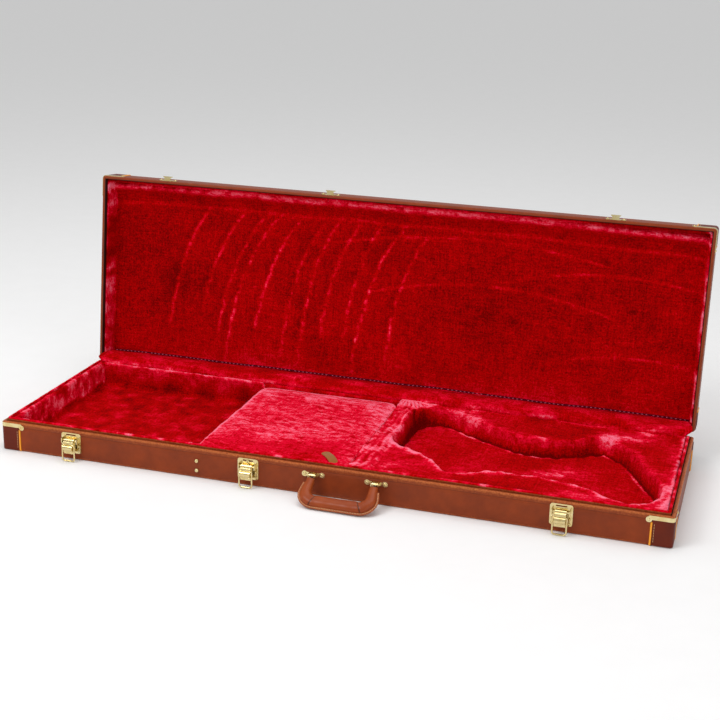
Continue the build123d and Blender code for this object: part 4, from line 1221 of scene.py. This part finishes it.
# %% Seam tape and stitches
seam_y = ly[-1] - 5.2 * MM
seam_z = face_low[2] - 1.3 * MM
TAPE = 1.7 * MM                 # half the tape's width
tape_x = np.linspace(lx[0] + 6 * MM, lx[-1] - 6 * MM, 180)
tape_sway = 0.5 * MM * lumps((180, 1), 5, 44).ravel()
tape_section = ((-1, 0.5), (-0.9, -0.2), (0, -0.5), (0.9, -0.2), (1, 0.5), (0, 1.2))
tape_rings = [[(x, seam_y + sway + TAPE * a, seam_z + b * MM) for a, b in tape_section]
              for x, sway in zip(tape_x, tape_sway)]
seam_tape = lid_open(loft("hinge_seam_tape", tape_rings, sharp_degrees=60))
settle(seam_tape, "lid", "plush", plum_tape)
seam_line = [(x, seam_y + sway, seam_z - 0.35 * MM) for x, sway in zip(tape_x, tape_sway)]
seam_threads = []
STRETCH = 12                    # points between two restarts of the stitching
for start in range(0, len(seam_line) - 1, STRETCH):
    stretch = seam_line[start:start + STRETCH + 1]
    seam_threads += stitch_row(stretch, [(0, 0.25, -1)] * len(stretch), 2.4 * MM, 5.0 * MM, 0.7 * MM)
seam_stitches = lid_open(join("hinge_seam_stitches", seam_threads))
settle(seam_stitches, "lid", "plush", pink_thread)
print("seam stitches:", len(seam_threads))

# %% [markdown]
# ## The handle
# A steel core is padded and covered in leather that is stitched together round the outside, so the
# handle has a thick soft body and a thin flange along its outer edge, with a row of stitches. The body
# is a rounded section carried along the path, thin at the legs and full at the grip. The path lies in a
# plane that leans out from the wall, and the core's box tells how far.

# %% Plane of the handle
pivot = np.array(joints["handle_swing"]["pos_m"])
core_low, core_high = corners_of("handle_core")
CORE_RADIUS = 2.2 * MM
drop_y = pivot[1] - (core_low[1] + CORE_RADIUS)
drop_z = pivot[2] - (core_low[2] + CORE_RADIUS)
handle_drop = math.hypot(drop_y, drop_z)
down_way = np.array([0, -drop_y, -drop_z]) / handle_drop
out_way = np.array([0, -drop_z, drop_y]) / handle_drop
half_grip = (core_high[0] - core_low[0]) / 2 - CORE_RADIUS
pivot_half = float(np.diff([p[0] for p in corners_of("handle_eyes")])[0]) / 2 - 5 * MM
LEG_START = 6.2 * MM            # where the leather starts, below the pin
BEND = 16 * MM                  # radius of the centre line at a corner
print("handle leans", round(math.degrees(math.atan2(-down_way[1], -down_way[2])), 1), "degrees from upright")


# %% Path of the handle
def handle_line():
    """Points of the handle's centre line, across and down, from one end to the other."""
    straight = [(pivot_half, LEG_START), (half_grip, handle_drop)]
    side = Vector((half_grip - pivot_half, handle_drop - LEG_START)).normalized()
    turn = math.acos(side.x)                         # between the leg and the level grip
    cut = BEND * math.tan((math.pi - turn) / 2)
    leg_end = Vector((half_grip, handle_drop)) - side * cut
    centre = leg_end + Vector((-side.y, side.x)) * BEND
    spread = []
    for t in np.linspace(0, 1, 12)[:-1]:
        p = Vector(straight[0]).lerp(leg_end, t)
        spread.append((p.x, p.y))
    first = math.atan2(leg_end.y - centre.y, leg_end.x - centre.x)
    for t in np.linspace(0, 1, 10):
        angle = first + (math.pi / 2 - first) * t
        spread.append((centre.x + BEND * math.cos(angle), centre.y + BEND * math.sin(angle)))
    for t in np.linspace(0, 1, 10)[1:]:
        spread.append((centre.x * (1 - t), handle_drop))
    mirrored = [(-x, y) for x, y in reversed(spread[:-1])]
    return spread + mirrored


route = np.array(handle_line())
along_route = walked(route)
even = np.linspace(0, along_route[-1], 121)
line = np.column_stack([np.interp(even, along_route, route[:, k]) for k in (0, 1)])
tangent = np.gradient(line, axis=0)
tangent /= np.linalg.norm(tangent, axis=1)[:, None]
outer_way = np.column_stack([-tangent[:, 1], tangent[:, 0]])     # away from the finger gap
if outer_way[len(line) // 2][1] < 0:
    outer_way = -outer_way
travelled = walked(line)
middle_share = 1 - np.abs(2 * travelled / travelled[-1] - 1)     # 0 at the ends, 1 at mid grip
print("handle's line is", round(1000 * travelled[-1]), "mm long")

# %% Fullness of the handle
fullness = smooth_step(middle_share, 0.0, 0.42)
half_across = (6.5 + 3.0 * fullness) * MM                        # half width in the handle's plane
half_thick = (4.4 + 2.6 * fullness) * MM
half_across[[0, -1]] *= 0.9
half_thick[[0, -1]] *= 0.85
print("grip is", round(2000 * half_across.max(), 1), "mm wide")


def at_handle(across, drop, out):
    """A point given across and down the handle's plane, and out of it, where the handle rests."""
    return pivot + np.array([across, 0, 0]) + down_way * drop + out_way * out


# %% Handle body
CORNER_SHARE = 0.285            # how far along the path a corner's seam lies
corner_at = [int(np.argmin(np.abs(travelled - travelled[-1] * share)))
             for share in (CORNER_SHARE, 1 - CORNER_SHARE)]
SECTION = 24
near_corner = [min(abs(i - c) for c in corner_at) for i in range(len(line))]
side_of = [-1 if i < len(line) / 2 else 1 for i in range(len(line))]
mitre = [0.42 * math.exp(-(n / 6) ** 2) * side for n, side in zip(near_corner, side_of)]
handle_rings = []
for i in range(len(line)):
    groove = 0.94 if i in corner_at else 1.0
    one = []
    for k in range(SECTION):
        angle = 2 * math.pi * k / SECTION
        c, s = math.cos(angle), math.sin(angle)
        a = math.copysign(abs(c) ** 0.8, c) * half_across[i] * groove
        b = math.copysign(abs(s) ** 0.9, s) * half_thick[i] * groove
        slant = mitre[i] * a                            # the seam's ring leans, as a mitre does
        place = line[i] + outer_way[i] * a + tangent[i] * slant
        one.append(tuple(at_handle(place[0], place[1], b)))
    handle_rings.append(one)
handle_body = loft("handle_grip", handle_rings, sharp_degrees=70)
ruffle(handle_body, 0.5 * MM, 12 * MM, 3.0)
seam_wear = np.repeat([PAINTED_SHADE_AND_DARK_SEAM if i in corner_at else 0.15 for i in range(len(line))], SECTION)
paint(handle_body, "wear_and_painted_light", seam_wear)
settle(handle_body, "handle", "handle_leather", handle_leather, "handle_cover")
print("handle: drop", round(handle_drop, 4), "grip", round(2 * half_grip, 4))

# %% Handle flange and stitches
FLANGE = 3.4                    # millimetres that the flange stands out
flange_section = ((-2.0, -1.3), (FLANGE - 0.4, -1.1), (FLANGE, 0), (FLANGE - 0.4, 1.1), (-2.0, 1.3))
flange_span = range(6, len(line) - 6)


def beside(i, reach, out):
    """A point beside the handle's line, some way past its body's outer edge, and out of its plane."""
    across, drop = line[i] + outer_way[i] * (half_across[i] + reach)
    return at_handle(across, drop, out)


flange_rings = [[tuple(beside(i, a * MM, b * MM)) for a, b in flange_section] for i in flange_span]
handle_flange = loft("handle_flange", flange_rings, sharp_degrees=50)
paint(handle_flange, "wear_and_painted_light", [0.55] * len(handle_flange.data.vertices))
settle(handle_flange, "handle", "handle_leather", handle_leather)

rows = []
for face in (-1, 1):
    points = [beside(i, 1.5 * MM, face * 1.15 * MM) for i in flange_span]
    rows += stitch_row(points, [out_way * face] * len(points), 2.6 * MM, 1.4 * MM, 0.4 * MM)
handle_stitches = join("handle_stitches", rows)
settle(handle_stitches, "handle", "handle_leather", thread)
print("handle stitches:", len(rows))

# %% [markdown]
# ## Corners
# A patch of darker vinyl is wrapped round each upright corner under an amber welt, which is a cord
# covered in plastic and sewn in along both of the patch's edges. The welt runs down the wall and turns
# under the rounded bottom edge. The stitches show beside it. The lid's corners are the same upside down.

# %% Welts and stitches of one half
WELT = 1.5 * MM                 # radius of the welt
WELT_TURN = math.radians(38)    # how far it turns under the folded edge
PATCH_REACH = 32 * MM           # how far a patch reaches from its corner
lobe_low = corners_of("base_corner_piping")[1][2]
lid_lobe = corners_of("lid_corner_piping", closed=True)[0][2]


def welt_path(x, y, way, z_start, z_end, turn):
    """Down a wall from z_start and round the folded edge near z_end. Way points out of the wall."""
    way = Vector((*way, 0))
    up = 1 if z_end > z_start else -1
    path = [Vector((x, y, z_start)) + way * (WELT * 0.1)]
    fold = z_end - up * UNDER
    for t in (0.25, 0.5, 0.75, 1.0):
        path.append(Vector((x, y, z_start + (fold - z_start) * t)) + way * (WELT * 0.1))
    for k in range(1, 6):
        angle = turn * k / 5
        path.append(Vector((x, y, fold)) - way * (UNDER * (1 - math.cos(angle)) - WELT * 0.1)
                    + Vector((0, 0, up * UNDER * math.sin(angle))))
    return path


def corner_trim(z_start, z_end, low, high):
    """Welts and stitches at all eight patch edges of one half of the case."""
    welts, stitches = [], []
    for sx in (-1, 1):
        for sy in (-1, 1):
            corner_x = high[0] if sx > 0 else low[0]
            corner_y = high[1] if sy > 0 else low[1]
            edges = [(corner_x - sx * PATCH_REACH, corner_y, (0, sy), (sx, 0)),
                     (corner_x, corner_y - sy * PATCH_REACH, (sx, 0), (0, sy))]
            for x, y, way, aside in edges:
                welts.append(tube(welt_path(x, y, way, z_start, z_end, WELT_TURN), WELT, 10))
                aside = np.array((*aside, 0)) * 4.2 * MM
                lift = np.array((*way, 0.0))
                base = np.array((x, y, 0.0)) + aside + lift * 0.8 * MM
                up = 1 if z_end > z_start else -1
                line_points = [base + (0, 0, z_start + up * 1 * MM), base + (0, 0, z_end - up * UNDER)]
                stitches += stitch_row(line_points, [lift] * 2, 2.6 * MM, 1.6 * MM, 0.38 * MM)
    return welts, stitches


print("welts are", 2000 * WELT, "mm thick")

# %% Corner welts and stitches
for body, start, end, low, high in (("base", lobe_low, base_low[2], base_low, base_high),
                                    ("lid", lid_lobe, lid_high[2], lid_low, lid_high)):
    welts, threads = corner_trim(start, end, low, high)
    welts = join(body + "_corner_welts", welts)
    threads = join(body + "_corner_stitches", threads)
    if body == "lid":
        lid_open(welts)
        lid_open(threads)
    settle(welts, body, "piping_vinyl", amber_welt, body + "_corner_piping")
    settle(threads, body, "patch_vinyl", thread)
    print(body, "stitches:", len(threads.data.vertices), "points")

# %% [markdown]
# ## Rivets
# The design only has a short rod for each rivet or screw. A real rivet's head is a low dome with a thin
# edge, and a screw's has a recess in the middle. So each rod gives its place and its axis, and a turned
# profile stands for it. Rods are found as the separate islands of the design's mesh.

# %% Islands of a mesh
def islands(node, closed=False):
    """Boxes of the separate solids in a design node."""
    mesh = frame["nodes"][node].data
    shape = bmesh.new()
    shape.from_mesh(mesh)
    bmesh.ops.remove_doubles(shape, verts=shape.verts, dist=1e-6)
    seen, boxes = set(), []
    for start in shape.verts:
        if start.index in seen:
            continue
        todo, members = [start], []
        seen.add(start.index)
        while todo:
            here = todo.pop()
            members.append(here.co.copy())
            for edge in here.link_edges:
                other = edge.other_vert(here)
                if other.index not in seen:
                    seen.add(other.index)
                    todo.append(other)
        points = np.array(members)
        if closed:
            points = swing(points, -open_angle)
        boxes.append((points.min(axis=0), points.max(axis=0)))
    shape.free()
    return boxes


print("rivets on the base:", len(islands("base_rivets")))

# %% Rivet and screw heads
# Turned profiles: a share of the head's radius, and of its height.
DOMED = [(1.0, 0.0), (1.0, 0.22), (0.93, 0.45), (0.75, 0.74), (0.5, 0.92), (0.25, 0.985), (0.02, 1.0)]
RECESSED = [(1.0, 0.0), (1.0, 0.3), (0.9, 0.6), (0.6, 0.75), (0.4, 0.78), (0.36, 0.4), (0.02, 0.36)]
SIDES = 16


def head(low, high, profile):
    """Points and faces of a turned head over a short rod that stands on a wall."""
    size = high - low
    axis = int(np.argmin(size))
    middle = (low + high) / 2
    sign = -1.0 if middle[axis] < 0 else 1.0
    radius = float(np.max(size)) / 2 * 1.12
    tall = float(size[axis]) * 1.15
    foot = middle.copy()
    foot[axis] = high[axis] if sign < 0 else low[axis]
    out = Vector([sign if k == axis else 0 for k in range(3)])
    side = Vector((0, 0, 1))
    other = out.cross(side)
    points, faces = [], []
    for r, h in profile:
        for k in range(SIDES):
            angle = 2 * math.pi * k / SIDES
            points.append(Vector(foot) + (side * math.cos(angle) + other * math.sin(angle)) * (radius * r)
                          + out * (tall * h))
    for row in range(len(profile) - 1):
        for k in range(SIDES):
            j = (k + 1) % SIDES
            low_row, high_row = row * SIDES, (row + 1) * SIDES
            faces.append((low_row + k, low_row + j, high_row + j, high_row + k))
    faces.append(tuple(reversed(range(SIDES))))
    faces.append(tuple(range(len(points) - SIDES, len(points))))
    return points, faces


for name, node, body, profile in (
        ("base_rivet_heads", "base_rivets", "base", DOMED), ("lid_rivet_heads", "lid_rivets", "lid", DOMED),
        ("handle_screw_heads", "handle_screws", "base", RECESSED),
        ("divider_stud_heads", "divider_studs", "base", DOMED)):
    found = islands(node, body == "lid")
    heads = join(name, [head(low, high, profile) for low, high in found], 60)
    if body == "lid":
        lid_open(heads)
    settle(heads, body, "brass", brass, node)
    print(name, len(found))

# %% [markdown]
# ## Stamped metal
# Plates, levers, bails, catches and hinges have their true shapes in the design, so they stay. Stamping
# and plating leave no knife edge anywhere, so each gets a small bevel, which catches a line of light,
# except the pins and the blackened steel, which stay sharp.

# %% Metal and board finishes on the design's own pieces
def finish_node(node, material, bevel):
    """A design node's finish, with its edges rounded by a bevel in metres."""
    piece = frame["nodes"][node]
    piece.data.materials.clear()
    piece.data.materials.append(material)
    if bevel:
        rounding = piece.modifiers.new("edges", "BEVEL")
        rounding.width = bevel
        rounding.segments = 2
        rounding.limit_method = "ANGLE"
        rounding.angle_limit = math.radians(40)
        rounding.harden_normals = False


slots = {part["node"]: part["material_slot"] for part in frame["record"]["subparts"]}
for node in sorted(frame["nodes"]):
    if frame["nodes"][node].hide_render:
        continue
    if slots[node] == "brass":
        finish_node(node, brass, 0.35 * MM if "pins" not in node else 0)
    elif slots[node] == "steel":
        finish_node(node, steel, 0)
    elif slots[node] == "patch_vinyl":
        finish_node(node, patch_vinyl, 0.25 * MM)
    else:
        finish_node(node, plywood, 0.4 * MM)
    print("kept", node, slots[node])

# %% [markdown]
# ## Where it stands and how it is lit
# The case lies on a pale floor under a large soft light from the front left, as in a small studio. The
# camera looks down a little from the right of the front.

# %% Floor
FLOOR_SIZE = 60.0
floor_mesh = bpy.data.meshes.new("studio_floor")
half = FLOOR_SIZE / 2
floor_corners = [(-half, -half, 0), (half, -half, 0), (half, half, 0), (-half, half, 0)]
floor_mesh.from_pydata(floor_corners, [], [(0, 1, 2, 3)])
studio_floor = bpy.data.objects.new("studio_floor", floor_mesh)
bpy.context.scene.collection.objects.link(studio_floor)
floor_paper = plain_stuff("pale_studio_floor", "#F4F4F4", "#F8F8F8", 0.05, 0.8, 0.0001)
floor_mesh.materials.append(floor_paper)
print("floor", FLOOR_SIZE, "m across")

# %% Lights
world = bpy.data.worlds.new("studio")
world.use_nodes = True
bpy.context.scene.world = world
world.node_tree.nodes["Background"].inputs["Color"].default_value = linear("#FFFFFF")
world.node_tree.nodes["Background"].inputs["Strength"].default_value = 0.62


def soft_light(name, place, target, size, power):
    """A square area light that points at a target."""
    lamp = bpy.data.lights.new(name, "AREA")
    lamp.size = size
    lamp.energy = power
    holder = bpy.data.objects.new(name, lamp)
    holder.location = place
    holder.rotation_mode = "QUATERNION"
    holder.rotation_quaternion = (Vector(target) - Vector(place)).to_track_quat("-Z", "Y")
    bpy.context.scene.collection.objects.link(holder)


centre = Vector((0, 0, 0.12))
soft_light("key", (-1.2, -1.6, 2.2), centre, 1.2, 30)
soft_light("fill", (1.9, -1.6, 1.2), centre, 1.6, 7)
soft_light("top", (0.1, 0.2, 2.6), centre, 1.6, 16)
print("lights aim at", tuple(round(v, 2) for v in centre))

# %% Camera
lens = bpy.data.cameras.new("camera")
lens.lens = 69.5
lens.sensor_width = 36
lens.clip_end = 100
camera = bpy.data.objects.new("camera", lens)
camera.location = (0.631, -2.024, 0.868)
forward = Vector((-0.27574, 0.90863, -0.31363)).normalized()
right = Vector((0.95431, 0.29787, 0.02396))
right = (right - forward * right.dot(forward)).normalized()
up = right.cross(forward)
camera.rotation_mode = "QUATERNION"
turn = [[right[k], up[k], -forward[k]] for k in range(3)]
camera.rotation_quaternion = Matrix(turn).to_quaternion()
bpy.context.scene.collection.objects.link(camera)
bpy.context.scene.camera = camera
bpy.context.scene.view_settings.view_transform = "Standard"
print("lens", lens.lens, "mm, at", tuple(round(v, 3) for v in camera.location))
